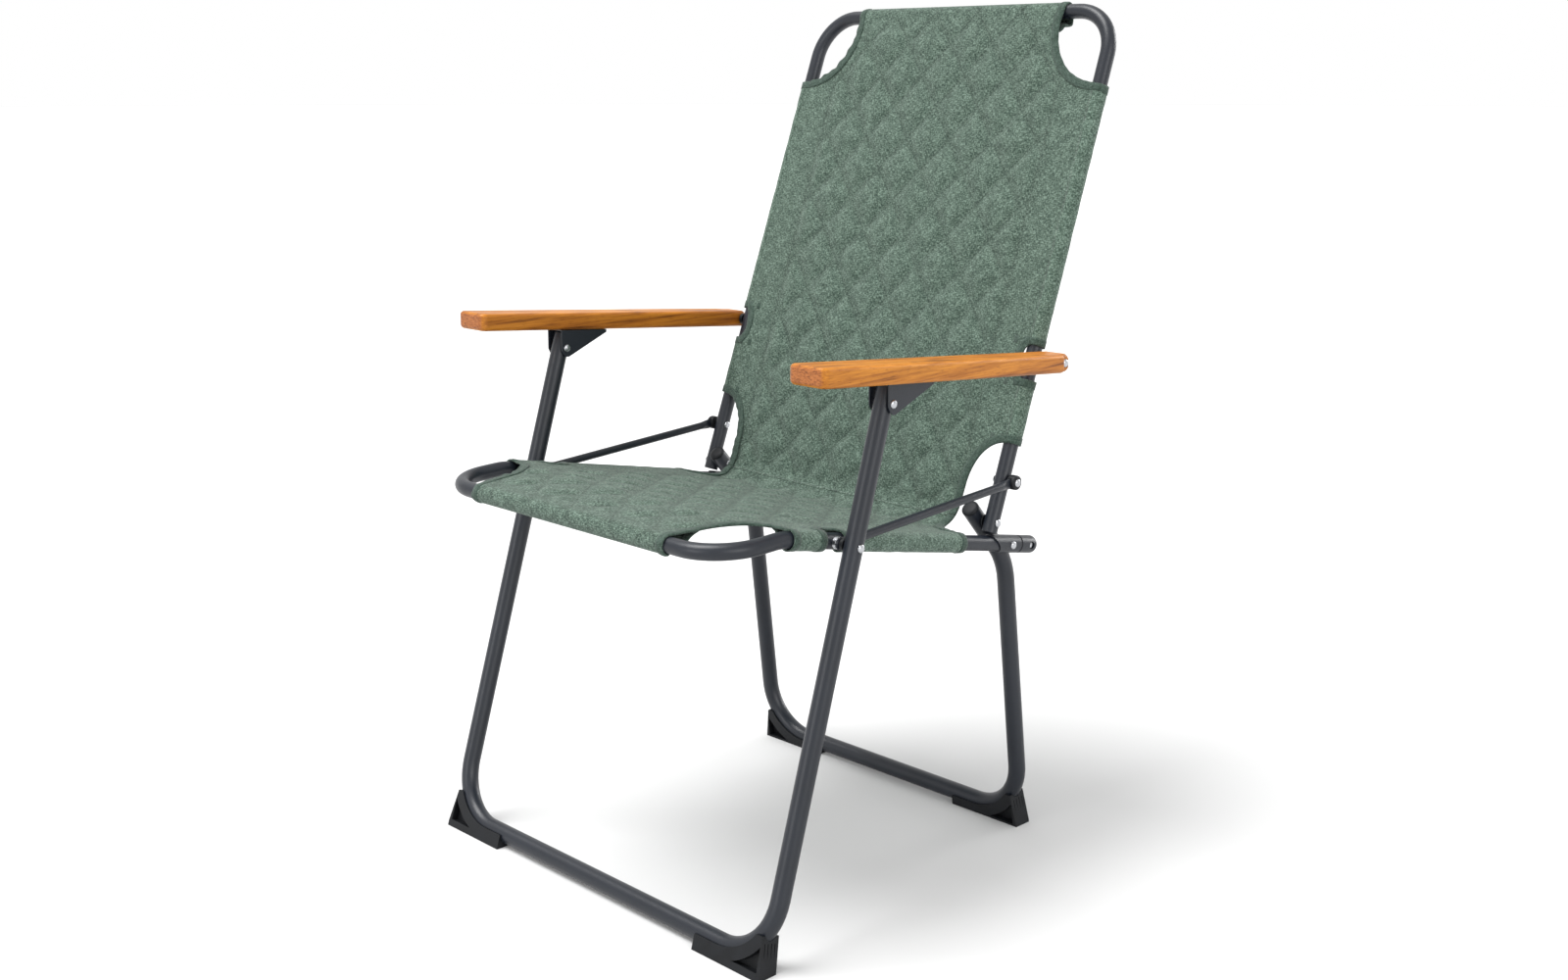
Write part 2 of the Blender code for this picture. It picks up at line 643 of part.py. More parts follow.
# ---------------------------------------------------------------- pivots
def make_pivots(materials, bodies):
    dark = materials["plastic"]
    frame_in, frame_out = FRAME_X - FRAME_RADIUS, FRAME_X + FRAME_RADIUS
    rear_in = REAR_X - LEG_RADIUS
    leg_in, leg_out = LEG_X - LEG_RADIUS, LEG_X + LEG_RADIUS
    rod_in, rod_out = ROD_X - 0.0020, ROD_X + 0.0020
    for side, s in SIDES.items():
        rivet("leg_rivet_" + side, LEG_PIVOT, frame_in, leg_out, s, materials, bodies["seat"])
        washer("leg_spacer_inner_" + side, LEG_PIVOT, frame_out + GAP, rod_in - GAP, s, 0.0070,
               HOLE, materials["zinc"], bodies["seat"])
        washer("leg_spacer_outer_" + side, LEG_PIVOT, rod_out + GAP, leg_in - GAP, s, 0.0070,
               HOLE, dark, bodies["front_legs"])
        rivet("seat_rivet_" + side, SEAT_PIVOT, rear_in, FRAME_X + SLEEVE_RADIUS, s, materials,
              bodies["seat"])
        rivet("back_rivet_" + side, BACK_PIVOT, rear_in, frame_out, s, materials,
              bodies["rear_legs"])
        washer("back_spacer_" + side, BACK_PIVOT, REAR_X + LEG_RADIUS + GAP, frame_in - GAP, s,
               0.0075, HOLE, dark, bodies["back"])
        rivet("rod_rivet_" + side, ROD_PIVOT, ROD_CAP_IN, ROD_CAP_OUT, s, materials,
              bodies["side_rods"], inner_head=False)
        rivet("rod_anchor_" + side, ROD_PIVOT, -frame_out - 0.0015, -frame_in, -s, materials,
              bodies["back"], inner_head=False)
        rivet("armrest_anchor_" + side, ARM_BOLT, -frame_out - 0.0030, -frame_in, -s, materials,
              bodies["back"], inner_head=False)
        washer("armrest_spacer_" + side, ARM_BOLT, frame_out + GAP, ARM_INNER_X - 0.0010, s,
               0.0075, HOLE, dark, bodies["back"])


# ---------------------------------------------------------------- fabric
ON_TUBE = FRAME_RADIUS + GAP + FABRIC / 2.0       # middle of the cloth lying on a tube
SLEEVE_X = FRAME_X + 0.0100
CREASE = on_back(0.0060, ON_TUBE)


def slab(name, stations, materials, body):
    """Cloth panel as a thin closed strip: each station is ((y, z), half width)."""
    middles = [Vector(station[0]) for station in stations]
    rings = []
    bm = bmesh.new()
    for i, (middle, half_width) in enumerate(stations):
        before, after = middles[max(i - 1, 0)], middles[min(i + 1, len(middles) - 1)]
        run = (after - before).normalized()
        normal = Vector((-run.y, run.x)) * (FABRIC / 2.0)
        upper, lower = Vector(middle) + normal, Vector(middle) - normal
        rings.append([bm.verts.new(in_x(half_width, upper)), bm.verts.new(in_x(-half_width, upper)),
                      bm.verts.new(in_x(-half_width, lower)), bm.verts.new(in_x(half_width, lower))])
    join_rings(bm, rings)
    bm.faces.new(rings[0])
    bm.faces.new(rings[-1])
    return finish(name, bm, materials["fabric"], body, smooth=False)


def seat_fabric(materials, body):
    """Seat cloth from behind the seat sleeves to round the front rail."""
    edge = [(0.0860, 0.2200), (0.0900, SLEEVE_X), (0.3010, SLEEVE_X), (0.3030, 0.2400),
            (0.3280, 0.2400), (0.3300, SLEEVE_X), (0.3860, SLEEVE_X),
            (KINK_AHEAD, 0.2440)]
    stations = [(on_seat(ahead, ON_TUBE), half) for ahead, half in edge]
    level_dir = unit(on_seat(KINK_AHEAD)[0] - RAIL_POINT[0], on_seat(KINK_AHEAD)[1] - RAIL_POINT[1])
    level_up = (-level_dir[1], level_dir[0])
    for ahead_of_rail, half in ((0.0800, 0.2250), (0.0680, 0.1950), (0.0500, 0.1860), (0.0200, 0.1840)):
        stations.append((along(RAIL_POINT, level_dir, ahead_of_rail, level_up, ON_TUBE), half))
    for step in range(9):
        angle = math.pi * step / 8.0
        stations.append((along(RAIL_POINT, level_dir, -ON_TUBE * math.sin(angle), level_up,
                               ON_TUBE * math.cos(angle)), 0.1835))
    return slab("seat_fabric", stations, materials, body)


def fabric_web(materials, body):
    """Free cloth between the seat and the back, through the valley at the crease."""
    stations = [(on_seat(0.0840, ON_TUBE), 0.2080), (on_seat(0.0700, ON_TUBE + 0.0060), 0.1980),
                (CREASE, 0.1980)]
    for above, half in ((0.0300, 0.2000), (0.0550, 0.2060), (0.0800, 0.2160), (0.1000, 0.2200),
                        (0.1190, 0.2200)):
        stations.append((on_back(above, ON_TUBE), half))
    return slab("fabric_web", stations, materials, body)


def back_fabric(materials, body):
    """Back cloth up to the top bar and over it."""
    edge = [(0.1225, SLEEVE_X), (0.1760, SLEEVE_X), (0.1800, 0.2430), (0.2000, 0.2395),
            (0.2180, 0.2430), (0.2220, SLEEVE_X), (0.5570, SLEEVE_X), (0.5620, 0.2250),
            (0.5750, 0.2050), (0.5960, 0.1830), (0.6220, 0.1750), (0.6480, 0.1755)]
    stations = [(on_back(above, ON_TUBE), half) for above, half in edge]
    for step in range(9):
        angle = math.pi * step / 8.0
        stations.append((on_back(TOP_ABOVE + ON_TUBE * math.sin(angle), ON_TUBE * math.cos(angle)),
                         0.1765))
    return slab("back_fabric", stations, materials, body)


# ---------------------------------------------------------------- assembly
def build():
    clear_scene()
    materials = make_materials()
    bodies = make_bodies()
    make_frames(materials, bodies)
    make_feet(materials, bodies)
    for side, s in SIDES.items():
        seat_end(side, s, materials, bodies["seat"])
        rear_leg_plug(side, s, materials, bodies["rear_legs"])
        side_rod(side, s, materials, bodies["side_rods"])
    make_armrests(materials, bodies)
    make_pivots(materials, bodies)
    seat_fabric(materials, bodies["seat"])
    fabric_web(materials, bodies["seat"])
    back_fabric(materials, bodies["back"])


build()
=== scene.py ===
"""Looks of the folding camp chair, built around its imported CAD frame.

Metres, +Z up, in the CAD's own frame.  Side-view places are (y, z) pairs.  The cloth is worked
out flat, as (x across, s along), and then hung on its side-view path.
"""
import json
import math

import bmesh
import bpy
import numpy as np
from mathutils import Matrix, Vector, noise


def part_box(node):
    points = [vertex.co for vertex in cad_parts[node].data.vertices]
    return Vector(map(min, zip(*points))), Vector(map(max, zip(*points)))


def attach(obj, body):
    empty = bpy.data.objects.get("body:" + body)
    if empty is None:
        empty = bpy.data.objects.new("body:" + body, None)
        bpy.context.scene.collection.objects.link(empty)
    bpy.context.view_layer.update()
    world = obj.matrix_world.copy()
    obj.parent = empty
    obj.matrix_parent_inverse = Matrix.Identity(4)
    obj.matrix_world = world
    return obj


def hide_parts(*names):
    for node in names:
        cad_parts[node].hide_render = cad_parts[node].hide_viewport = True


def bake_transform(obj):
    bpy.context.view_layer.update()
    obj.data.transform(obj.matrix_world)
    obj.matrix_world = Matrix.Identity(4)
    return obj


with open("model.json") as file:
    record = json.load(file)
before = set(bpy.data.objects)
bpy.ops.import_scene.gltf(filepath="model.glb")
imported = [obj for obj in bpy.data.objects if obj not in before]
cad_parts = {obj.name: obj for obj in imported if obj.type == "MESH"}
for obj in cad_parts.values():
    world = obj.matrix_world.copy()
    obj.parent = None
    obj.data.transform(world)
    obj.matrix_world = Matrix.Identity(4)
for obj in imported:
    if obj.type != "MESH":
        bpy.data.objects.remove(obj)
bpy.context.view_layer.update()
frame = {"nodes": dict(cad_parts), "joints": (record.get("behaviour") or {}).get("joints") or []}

SIDES = {"left": 1, "right": -1}
LEG_RADIUS = 0.011
FRAME_RADIUS = 0.0095
WALL = 0.0012
GAP = 0.0003
BACK_SLOPE = 0.3735           # y per z
SEAT_SLOPE = -0.1950          # z per y
REAR_SLOPE = -0.1218          # y per z
BAR_Z = 0.0138
DIAMOND_WIDE, DIAMOND_HIGH = 0.0735, 0.0880    # one quilted diamond
QUILT_HALF = 0.1960           # the quilting ends at a straight seam on each side


# ---- places taken from the frame
def joint_pivot(name):
    position = next(joint for joint in frame["joints"] if joint["name"] == name)["pos_m"]
    return (position[1], position[2])


def unit(y, z):
    length = math.hypot(y, z)
    return (y / length, z / length)


def step_from(start, direction, distance, normal=(0.0, 0.0), offset=0.0):
    return (start[0] + direction[0] * distance + normal[0] * offset,
            start[1] + direction[1] * distance + normal[1] * offset)


def at_x(x, yz):
    return Vector((x, yz[0], yz[1]))


SEAT_PIVOT = joint_pivot("rear_leg_fold")
BACK_PIVOT = joint_pivot("back_fold")
LEG_PIVOT = joint_pivot("front_leg_fold")
ARM_PIVOT = joint_pivot("armrest_fold")
LEG_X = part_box("front_leg_frame")[1].x - LEG_RADIUS
REAR_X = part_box("rear_leg_frame")[1].x - LEG_RADIUS
FRAME_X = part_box("back_frame")[1].x - FRAME_RADIUS
ROD_X = sum(c.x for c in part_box("side_rod_left")) / 2.0
BACK_DIR = unit(BACK_SLOPE, 1.0)
BACK_FRONT = (-BACK_DIR[1], BACK_DIR[0])
SEAT_DIR = unit(-1.0, -SEAT_SLOPE)
SEAT_UP = (SEAT_DIR[1], -SEAT_DIR[0])
LEG_DIR = unit(ARM_PIVOT[0] - LEG_PIVOT[0], ARM_PIVOT[1] - LEG_PIVOT[1])
REAR_DIR = unit(REAR_SLOPE, 1.0)
HINGE_DIR = unit(SEAT_PIVOT[0] - BACK_PIVOT[0], SEAT_PIVOT[1] - BACK_PIVOT[1])
ROD_ABOVE, ARM_ABOVE, TOP_ABOVE, BACK_TAIL = 0.0526, 0.2062, 0.6568, 0.0125
KINK_AHEAD = 0.3957


def on_back(above, front=0.0):
    return step_from(BACK_PIVOT, BACK_DIR, above, BACK_FRONT, front)


def on_seat(ahead, up=0.0):
    return step_from(SEAT_PIVOT, SEAT_DIR, ahead, SEAT_UP, up)


RAIL = (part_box("seat_frame")[0].y + FRAME_RADIUS, 0.4654)
KINK = on_seat(KINK_AHEAD)
LEVEL_DIR = unit(KINK[0] - RAIL[0], KINK[1] - RAIL[1])
LEVEL_UP = (-LEVEL_DIR[1], LEVEL_DIR[0])
ROD_PIVOT = on_back(ROD_ABOVE)
ARM_BOLT = on_back(ARM_ABOVE)
FRONT_BAR = step_from(LEG_PIVOT, LEG_DIR, (BAR_Z - LEG_PIVOT[1]) / LEG_DIR[1])
REAR_BAR = ((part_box("rear_leg_frame")[1].y - LEG_RADIUS), BAR_Z)
REAR_TIP = step_from(BACK_PIVOT, HINGE_DIR, -0.019)


def rear_knee():
    run = REAR_BAR[0] + REAR_SLOPE * (SEAT_PIVOT[1] - REAR_BAR[1]) - SEAT_PIVOT[0]
    return step_from(SEAT_PIVOT, HINGE_DIR, run / (HINGE_DIR[0] - REAR_SLOPE * HINGE_DIR[1]))


# ---- node materials
class Nodes:
    """A short way to write a node tree."""

    def __init__(self, name):
        self.material = bpy.data.materials.new(name)
        self.material.use_nodes = True
        self.tree = self.material.node_tree
        self.shader = self.tree.nodes["Principled BSDF"]

    def add(self, kind, inputs=None, **settings):
        node = self.tree.nodes.new("ShaderNode" + kind)
        for key, value in settings.items():
            setattr(node, key, value)
        for key, value in (inputs or {}).items():
            self.feed(node.inputs[key], value)
        return node

    def feed(self, socket, value):
        if isinstance(value, bpy.types.NodeSocket):
            self.tree.links.new(value, socket)
        else:
            socket.default_value = value

    def shade(self, **values):
        for key, value in values.items():
            self.feed(self.shader.inputs[key.replace("_", " ")], value)

    def coordinates(self, scale, uv=None):
        if uv:
            source = self.add("UVMap", uv_map=uv).outputs["UV"]
        else:
            source = self.add("TexCoord").outputs["Object"]
        return self.add("Mapping", {"Vector": source, "Scale": scale}).outputs["Vector"]

    def noise(self, scale, detail=2.0, rough=0.5, uv=None):
        """Noise with this many grains a metre in each direction."""
        return self.add("TexNoise", {"Vector": self.coordinates(scale, uv), "Scale": 1.0,
                                     "Detail": detail, "Roughness": rough}).outputs["Fac"]

    def spread(self, value, low, high):
        """The middle of a noise's range, mapped to low..high."""
        return self.add("MapRange", {"Value": value, "From Min": 0.3, "From Max": 0.7,
                                     "To Min": low, "To Max": high}).outputs[0]

    def math(self, operation, a, b=0.0):
        return self.add("Math", {0: a, 1: b}, operation=operation).outputs[0]

    def mix(self, factor, a, b, blend="MIX"):
        node = self.add("Mix", data_type="RGBA", blend_type=blend)
        self.feed(node.inputs[0], factor)
        self.feed(node.inputs[6], a)
        self.feed(node.inputs[7], b)
        return node.outputs[2]

    def ramp(self, factor, stops):
        node = self.add("ValToRGB", {"Fac": factor})
        elements = node.color_ramp.elements
        while len(elements) < len(stops):
            elements.new(0.5)
        for element, (position, colour) in zip(elements, stops):
            element.position = position
            element.color = (*colour, 1.0)
        return node.outputs["Color"]

    def bump(self, height, distance, strength=1.0):
        node = self.add("Bump", {"Height": height, "Distance": distance, "Strength": strength})
        self.feed(self.shader.inputs["Normal"], node.outputs["Normal"])


def powder_coat():
    n = Nodes("powder_coat_look")
    grain = n.noise((1500.0, 1500.0, 1500.0), detail=3.0)
    cloud = n.noise((14.0, 14.0, 14.0))
    colour = n.ramp(cloud, [(0.3, (0.0072, 0.0096, 0.0148)), (0.7, (0.0100, 0.0130, 0.0195))])
    speck = n.ramp(grain, [(0.35, (0.78, 0.78, 0.78)), (0.65, (1.15, 1.15, 1.15))])
    n.shade(Base_Color=n.mix(1.0, colour, speck, "MULTIPLY"), Specular_IOR_Level=0.42,
            Roughness=n.spread(grain, 0.30, 0.42))
    n.bump(grain, 0.00025, 0.55)
    return n.material


def dark_plastic():
    n = Nodes("dark_plastic_look")
    grain = n.noise((900.0, 900.0, 900.0))
    scuff = n.noise((60.0, 60.0, 60.0), detail=4.0)
    colour = n.ramp(scuff, [(0.35, (0.0045, 0.0052, 0.0064)), (0.75, (0.0085, 0.0098, 0.0120))])
    n.shade(Base_Color=colour, Specular_IOR_Level=0.22, Roughness=n.spread(scuff, 0.42, 0.58))
    n.bump(grain, 0.0002, 0.4)
    return n.material


def zinc():
    n = Nodes("zinc_look")
    brushed = n.noise((300.0, 2200.0, 2200.0))
    n.shade(Base_Color=n.ramp(brushed, [(0.3, (0.34, 0.35, 0.37)), (0.7, (0.56, 0.57, 0.59))]),
            Metallic=1.0, Roughness=n.spread(brushed, 0.20, 0.36))
    n.bump(brushed, 0.0001, 0.3)
    return n.material


def oiled_wood():
    """Warm hardwood: long grain along Y, dark heart streaks, fine pores, darker end grain."""
    n = Nodes("oiled_wood_look")
    bend = n.noise((11.0, 2.6, 11.0), detail=3.0)
    fine = n.noise((420.0, 14.0, 420.0), detail=3.0, rough=0.6)
    pores = n.noise((1300.0, 70.0, 1300.0), detail=1.0)
    streak = n.noise((95.0, 4.0, 130.0), detail=4.0, rough=0.62)
    body = n.ramp(bend, [(0.28, (0.300, 0.100, 0.009)), (0.50, (0.450, 0.163, 0.014)),
                         (0.74, (0.545, 0.225, 0.025))])
    streaks = n.ramp(streak, [(0.32, (0.22, 0.15, 0.11)), (0.43, (0.74, 0.67, 0.60)),
                              (0.58, (1.0, 1.0, 1.0))])
    fibres = n.ramp(fine, [(0.3, (0.66, 0.58, 0.52)), (0.6, (1.05, 1.04, 1.02))])
    colour = n.mix(0.95, body, streaks, "MULTIPLY")
    colour = n.mix(0.75, colour, fibres, "MULTIPLY")
    dots = n.ramp(pores, [(0.27, (0.35, 0.25, 0.18)), (0.36, (1.0, 1.0, 1.0))])
    colour = n.mix(0.6, colour, dots, "MULTIPLY")
    rings = n.noise((260.0, 260.0, 900.0), detail=3.0, rough=0.7)
    end_grain = n.ramp(rings, [(0.33, (0.120, 0.036, 0.012)), (0.52, (0.330, 0.110, 0.028)),
                               (0.70, (0.400, 0.150, 0.045))])
    facing = n.add("SeparateXYZ", {"Vector": n.add("TexCoord").outputs["Normal"]}).outputs["Y"]
    is_end = n.add("MapRange", {"Value": n.math("ABSOLUTE", facing), "From Min": 0.72,
                                "From Max": 0.93})
    colour = n.mix(is_end.outputs[0], colour, end_grain)
    n.shade(Base_Color=colour, Specular_IOR_Level=0.25,
            Roughness=n.spread(fine, 0.52, 0.36))
    n.bump(n.math("ADD", fine, n.math("MULTIPLY", pores, 0.6)), 0.0004, 0.35)
    return n.material


def cloth_look(name, dark, middle, light, quilted=False):
    """Melange cloth: short fibres across and along, in three shades; quilted cloth also gets painted
    shade along its seams.
    """
    n = Nodes(name)
    warp = n.noise((900.0, 260.0, 1.0), uv="cloth")
    weft = n.noise((230.0, 900.0, 1.0), uv="cloth")
    blotch = n.noise((75.0, 75.0, 1.0), uv="cloth", detail=4.0)
    fibre = n.math("ADD", n.math("MULTIPLY", warp, 0.5), n.math("MULTIPLY", weft, 0.5))
    tone = n.math("ADD", n.math("MULTIPLY", fibre, 0.84), n.math("MULTIPLY", blotch, 0.16))
    colour = n.ramp(tone, [(0.415, dark), (0.5, middle), (0.585, light)])
    thread = n.noise((1900.0, 1900.0, 1.0), uv="cloth", detail=1.0)
    relief = n.math("ADD", n.math("MULTIPLY", fibre, 1.5), thread)
    if quilted:
        flat = n.add("SeparateXYZ", {"Vector": n.coordinates((1.0, 1.0, 1.0), "cloth")})
        across = n.math("DIVIDE", flat.outputs["X"], DIAMOND_WIDE)
        along = n.math("DIVIDE", flat.outputs["Y"], DIAMOND_HIGH)
        first, second = n.math("ADD", across, along), n.math("SUBTRACT", across, along)
        near = n.math("MINIMUM", n.math("PINGPONG", first, 0.5), n.math("PINGPONG", second, 0.5))
        off_side = n.math("ABSOLUTE", flat.outputs["X"])
        outside = n.math("GREATER_THAN", off_side, QUILT_HALF)
        off_seam = n.math("ABSOLUTE", n.math("SUBTRACT", off_side, QUILT_HALF))
        side_seam = n.math("MULTIPLY", off_seam, 14.0)
        near = n.math("MINIMUM", n.math("ADD", near, outside), side_seam)
        # Painted shade: the cloth is darkened along the quilting seams and the straight side seams,
        # where the pillows' valleys lie in shade.
        painted_seam_shade = n.ramp(near, [(0.0, (0.74, 0.74, 0.74)), (0.012, (0.77, 0.77, 0.77)),
                               (0.030, (0.90, 0.90, 0.90)), (0.14, (1.0, 1.0, 1.0))])
        colour = n.mix(1.0, colour, painted_seam_shade, "MULTIPLY")
    n.shade(Base_Color=colour, Roughness=0.92, Specular_IOR_Level=0.2, Sheen_Weight=0.12,
            Sheen_Roughness=0.5)
    n.bump(relief, 0.0006, 0.7)
    return n.material


LOOKS = {
    "powder_coat": powder_coat(),
    "dark_plastic": dark_plastic(),
    "zinc": zinc(),
    "oiled_wood": oiled_wood(),
    # The sleeves' cloth is the quilted panel's fabric made lighter: painted light for the brighter-lit
    # rounds of the sleeves.
    "cloth": cloth_look("melange_cloth_painted_lighter_look", (0.026, 0.046, 0.034), (0.068, 0.105, 0.081),
                        (0.165, 0.232, 0.187)),
    "quilt": cloth_look("quilted_cloth_look", (0.022, 0.040, 0.030), (0.058, 0.090, 0.069),
                        (0.150, 0.212, 0.170), quilted=True),
    "tape": cloth_look("binding_look", (0.022, 0.040, 0.030), (0.038, 0.062, 0.048),
                       (0.064, 0.098, 0.079)),
}
SLOT_OF = {look: look for look in LOOKS}
SLOT_OF |= dict.fromkeys(("cloth", "quilt", "tape"), "melange_fabric")


# ---- mesh making
def add_object(name, data):
    item = bpy.data.objects.new(name, data)
    bpy.context.collection.objects.link(item)
    return item


def place(name, bm, look, body, replaced=(), smooth_angle=40.0):
    """Finish a bmesh as a piece that rides on a CAD body and stands for CAD nodes."""
    bmesh.ops.recalc_face_normals(bm, faces=bm.faces)
    mesh = bpy.data.meshes.new(name)
    bm.to_mesh(mesh)
    bm.free()
    mesh.shade_smooth()
    mesh.set_sharp_from_angle(angle=math.radians(smooth_angle))
    piece = add_object(name, mesh)
    mesh.materials.append(LOOKS[look])
    if body:
        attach(piece, body)
    if replaced:
        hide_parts(*replaced)
    return piece


def dress(node, bm, look, body, smooth_angle=40.0):
    """Piece that stands for one CAD node; without a body it is only a cutter."""
    return place(node + "_look", bm, look, body, (node,) if body else (), smooth_angle)


def bevel(piece, width, segments, angle):
    modifier = piece.modifiers.new("rounded_edges", "BEVEL")
    modifier.width = width
    modifier.segments = segments
    modifier.limit_method = "ANGLE"
    modifier.angle_limit = math.radians(angle)
    modifier.harden_normals = True


def apply_cut(piece, cutter):
    """Boolean difference, applied at once, with the cutter thrown away."""
    modifier = piece.modifiers.new("cut", "BOOLEAN")
    modifier.operation = "DIFFERENCE"
    modifier.object = cutter
    bpy.context.view_layer.update()
    evaluated = piece.evaluated_get(bpy.context.evaluated_depsgraph_get())
    old, material = piece.data, piece.data.materials[0]
    piece.modifiers.remove(modifier)
    piece.data = bpy.data.meshes.new_from_object(evaluated)
    piece.data.materials.clear()
    piece.data.materials.append(material)
    bpy.data.meshes.remove(old)
    bpy.data.objects.remove(cutter, do_unlink=True)
    piece.data.shade_smooth()
    piece.data.set_sharp_from_angle(angle=math.radians(35.0))


def fillet_path(points, bends, steps=16):
    """Polyline with each inner corner rounded to its own radius."""
    path = [points[0]]
    for before, corner, after, radius in zip(points, points[1:], points[2:], bends):
        incoming = (before - corner).normalized()
        outgoing = (after - corner).normalized()
        half = incoming.angle(outgoing) / 2.0
        reach = radius / math.tan(half)
        centre = corner + (incoming + outgoing).normalized() * (radius / math.sin(half))
        first = (corner + incoming * reach - centre).normalized()
        last = (corner + outgoing * reach - centre).normalized()
        count = max(4, round(steps * first.angle(last) / (math.pi / 2.0)))
        path += [centre + first.slerp(last, i / count) * radius for i in range(count + 1)]
    path.append(points[-1])
    return path


def add_ring(bm, sides, spot):
    """New vertices round a loop; spot turns an angle's cosine and sine into a place."""
    angles = [2.0 * math.pi * k / sides for k in range(sides)]
    return [bm.verts.new(spot(math.cos(angle), math.sin(angle))) for angle in angles]


def join_rings(bm, rings, close=False, ends=False):
    """Faces from ring to ring; close joins the last to the first, ends fills both."""
    pairs = list(zip(rings, rings[1:]))
    if close:
        pairs.append((rings[-1], rings[0]))
    for first, second in pairs:
        count = len(first)
        for i in range(count):
            k = (i + 1) % count
            bm.faces.new((first[i], first[k], second[k], second[i]))
    if ends:
        bm.faces.new(rings[0])
        bm.faces.new(rings[-1])


def sweep_rings(bm, path, radius, sides):
    tangents = []
    for i in range(len(path)):
        tangents.append((path[min(i + 1, len(path) - 1)] - path[max(i - 1, 0)]).normalized())
    across = tangents[0].cross(Vector((0.0, 1.0, 0.0))).normalized()
    rings = []
    for i, tangent in enumerate(tangents):
        if i:
            across = tangents[i - 1].rotation_difference(tangent) @ across
        across = (across - tangent * across.dot(tangent)).normalized()
        other = tangent.cross(across)
        rings.append(add_ring(bm, sides, lambda c, d: path[i] + (across * c + other * d) * radius))
    return rings


def tube(name, path, radius, body, replaced, sides=30):
    bm = bmesh.new()
    outer = sweep_rings(bm, path, radius, sides)
    inner = sweep_rings(bm, path, radius - WALL, sides)
    join_rings(bm, outer + inner[::-1], close=True)
    return place(name, bm, "powder_coat", body, (replaced,))


def mirrored(half):
    return half + [Vector((-p.x, p.y, p.z)) for p in reversed(half)]


def turned(node, start, direction, profile, look, body, sides=32, ring=False):
    """Turned piece from (distance along the axis, radius) pairs."""
    bm = bmesh.new()
    axis = direction.normalized()
    across = axis.cross(Vector((0.0, 1.0, 0.3))).normalized()
    other = axis.cross(across)
    rings = [add_ring(bm, sides, lambda c, d: start + axis * distance
                      + (across * c + other * d) * radius) for distance, radius in profile]
    join_rings(bm, rings, close=ring, ends=not ring)
    return dress(node, bm, look, body)


def prism(node, outline, low, high, where, look, body):
    bm = bmesh.new()
    bottom = [bm.verts.new(where(u, v, low)) for u, v in outline]
    top = [bm.verts.new(where(u, v, high)) for u, v in outline]
    join_rings(bm, [bottom, top], ends=True)
    return dress(node, bm, look, body, 35.0)


def round_outline(points, radii, steps=8):
    """Closed 2-D outline with rounded corners."""
    outline = []
    for i, radius in enumerate(radii):
        if radius == 0.0:
            outline.append(points[i])
            continue
        corner = Vector(points[i])
        before = (Vector(points[i - 1]) - corner).normalized()
        after = (Vector(points[(i + 1) % len(points)]) - corner).normalized()
        half = before.angle(after) / 2.0
        centre = corner + (before + after).normalized() * (radius / math.sin(half))
        first = corner + before * (radius / math.tan(half)) - centre
        last = corner + after * (radius / math.tan(half)) - centre
        turn = first.angle_signed(last)
        outline += [tuple(centre + Matrix.Rotation(-turn * k / steps, 2) @ first)
                    for k in range(steps + 1)]
    return outline


# ---- tubes
def front_leg_path():
    top = step_from(ARM_PIVOT, LEG_DIR, 0.0180)
    return fillet_path(mirrored([at_x(LEG_X, top), at_x(LEG_X, FRONT_BAR)]), [0.070] * 2)


def rear_leg_path():
    half = [at_x(REAR_X, REAR_TIP), at_x(REAR_X, rear_knee()), at_x(REAR_X, REAR_BAR)]
    return fillet_path(mirrored(half), [0.085, 0.070, 0.070, 0.085])


def back_path():
    half = [at_x(FRAME_X, on_back(-BACK_TAIL)), at_x(FRAME_X, on_back(TOP_ABOVE))]
    return fillet_path(mirrored(half), [0.058] * 2)


def seat_path():
    half = [at_x(FRAME_X, on_seat(-0.0150)), at_x(FRAME_X, KINK), at_x(FRAME_X, RAIL)]
    return fillet_path(mirrored(half), [0.080, 0.060, 0.060, 0.080])


def make_tubes():
    tube("front_legs_tube", front_leg_path(), LEG_RADIUS, "front_legs", "front_leg_frame")
    tube("rear_legs_tube", rear_leg_path(), LEG_RADIUS, "rear_legs", "rear_leg_frame")
    tube("back_tube", back_path(), FRAME_RADIUS, "back", "back_frame")
    tube("seat_tube", seat_path(), FRAME_RADIUS, "seat", "seat_frame")


# ---- pivots and small parts
SHANK, HEAD, DOME = 0.0028, 0.0049, 0.0022


def outward(s):
    return Vector((s, 0.0, 0.0))


def rounded_end(start, reach, radius, power=1.0, tip=0.0006, steps=7):
    """Profile of a rounded end that stands on distance start, from its rim to its tip."""
    angles = [0.5 * math.pi * i / steps for i in range(steps + 1)]
    return [(start + reach * math.sin(angle), max(radius * math.cos(angle) ** power, tip))
            for angle in angles]


def dome(start, sign):
    """Profile of a rivet's domed head."""
    return rounded_end(start, sign * DOME, HEAD, tip=0.0003)


def rivet(name, yz, x_inner, x_outer, s, body, inner_head=True):
    grip = x_outer - x_inner
    profile = dome(-GAP, -1)[::-1] + [(-GAP, SHANK)] if inner_head else [(0.0, SHANK)]
    profile += [(grip + GAP, SHANK)] + dome(grip + GAP, 1)
    turned(name, at_x(s * x_inner, yz), outward(s), profile, "zinc", body)


def washer(name, yz, x_inner, x_outer, s, radius, look, body):
    grip = x_outer - x_inner
    lip = min(0.0006, grip / 3.0)
    bore = SHANK + GAP
    profile = [(0.0, bore), (0.0, radius - lip), (lip, radius), (grip - lip, radius),
               (grip, radius - lip), (grip, bore)]
    turned(name, at_x(s * x_inner, yz), outward(s), profile, look, body, ring=True)


ROD_HALF_THICK = 0.0020       # where the rod is pressed flat
BRACKET_HALF = 0.0150
ROD_CAP_IN, ROD_CAP_OUT = 0.2648, 0.2756
ARM_INNER_X = 0.2675
ARM_FRONT_INNER_X = 0.2725
ARM_REAR_OUTER_X = 0.3110
TONGUE_X = 0.3020


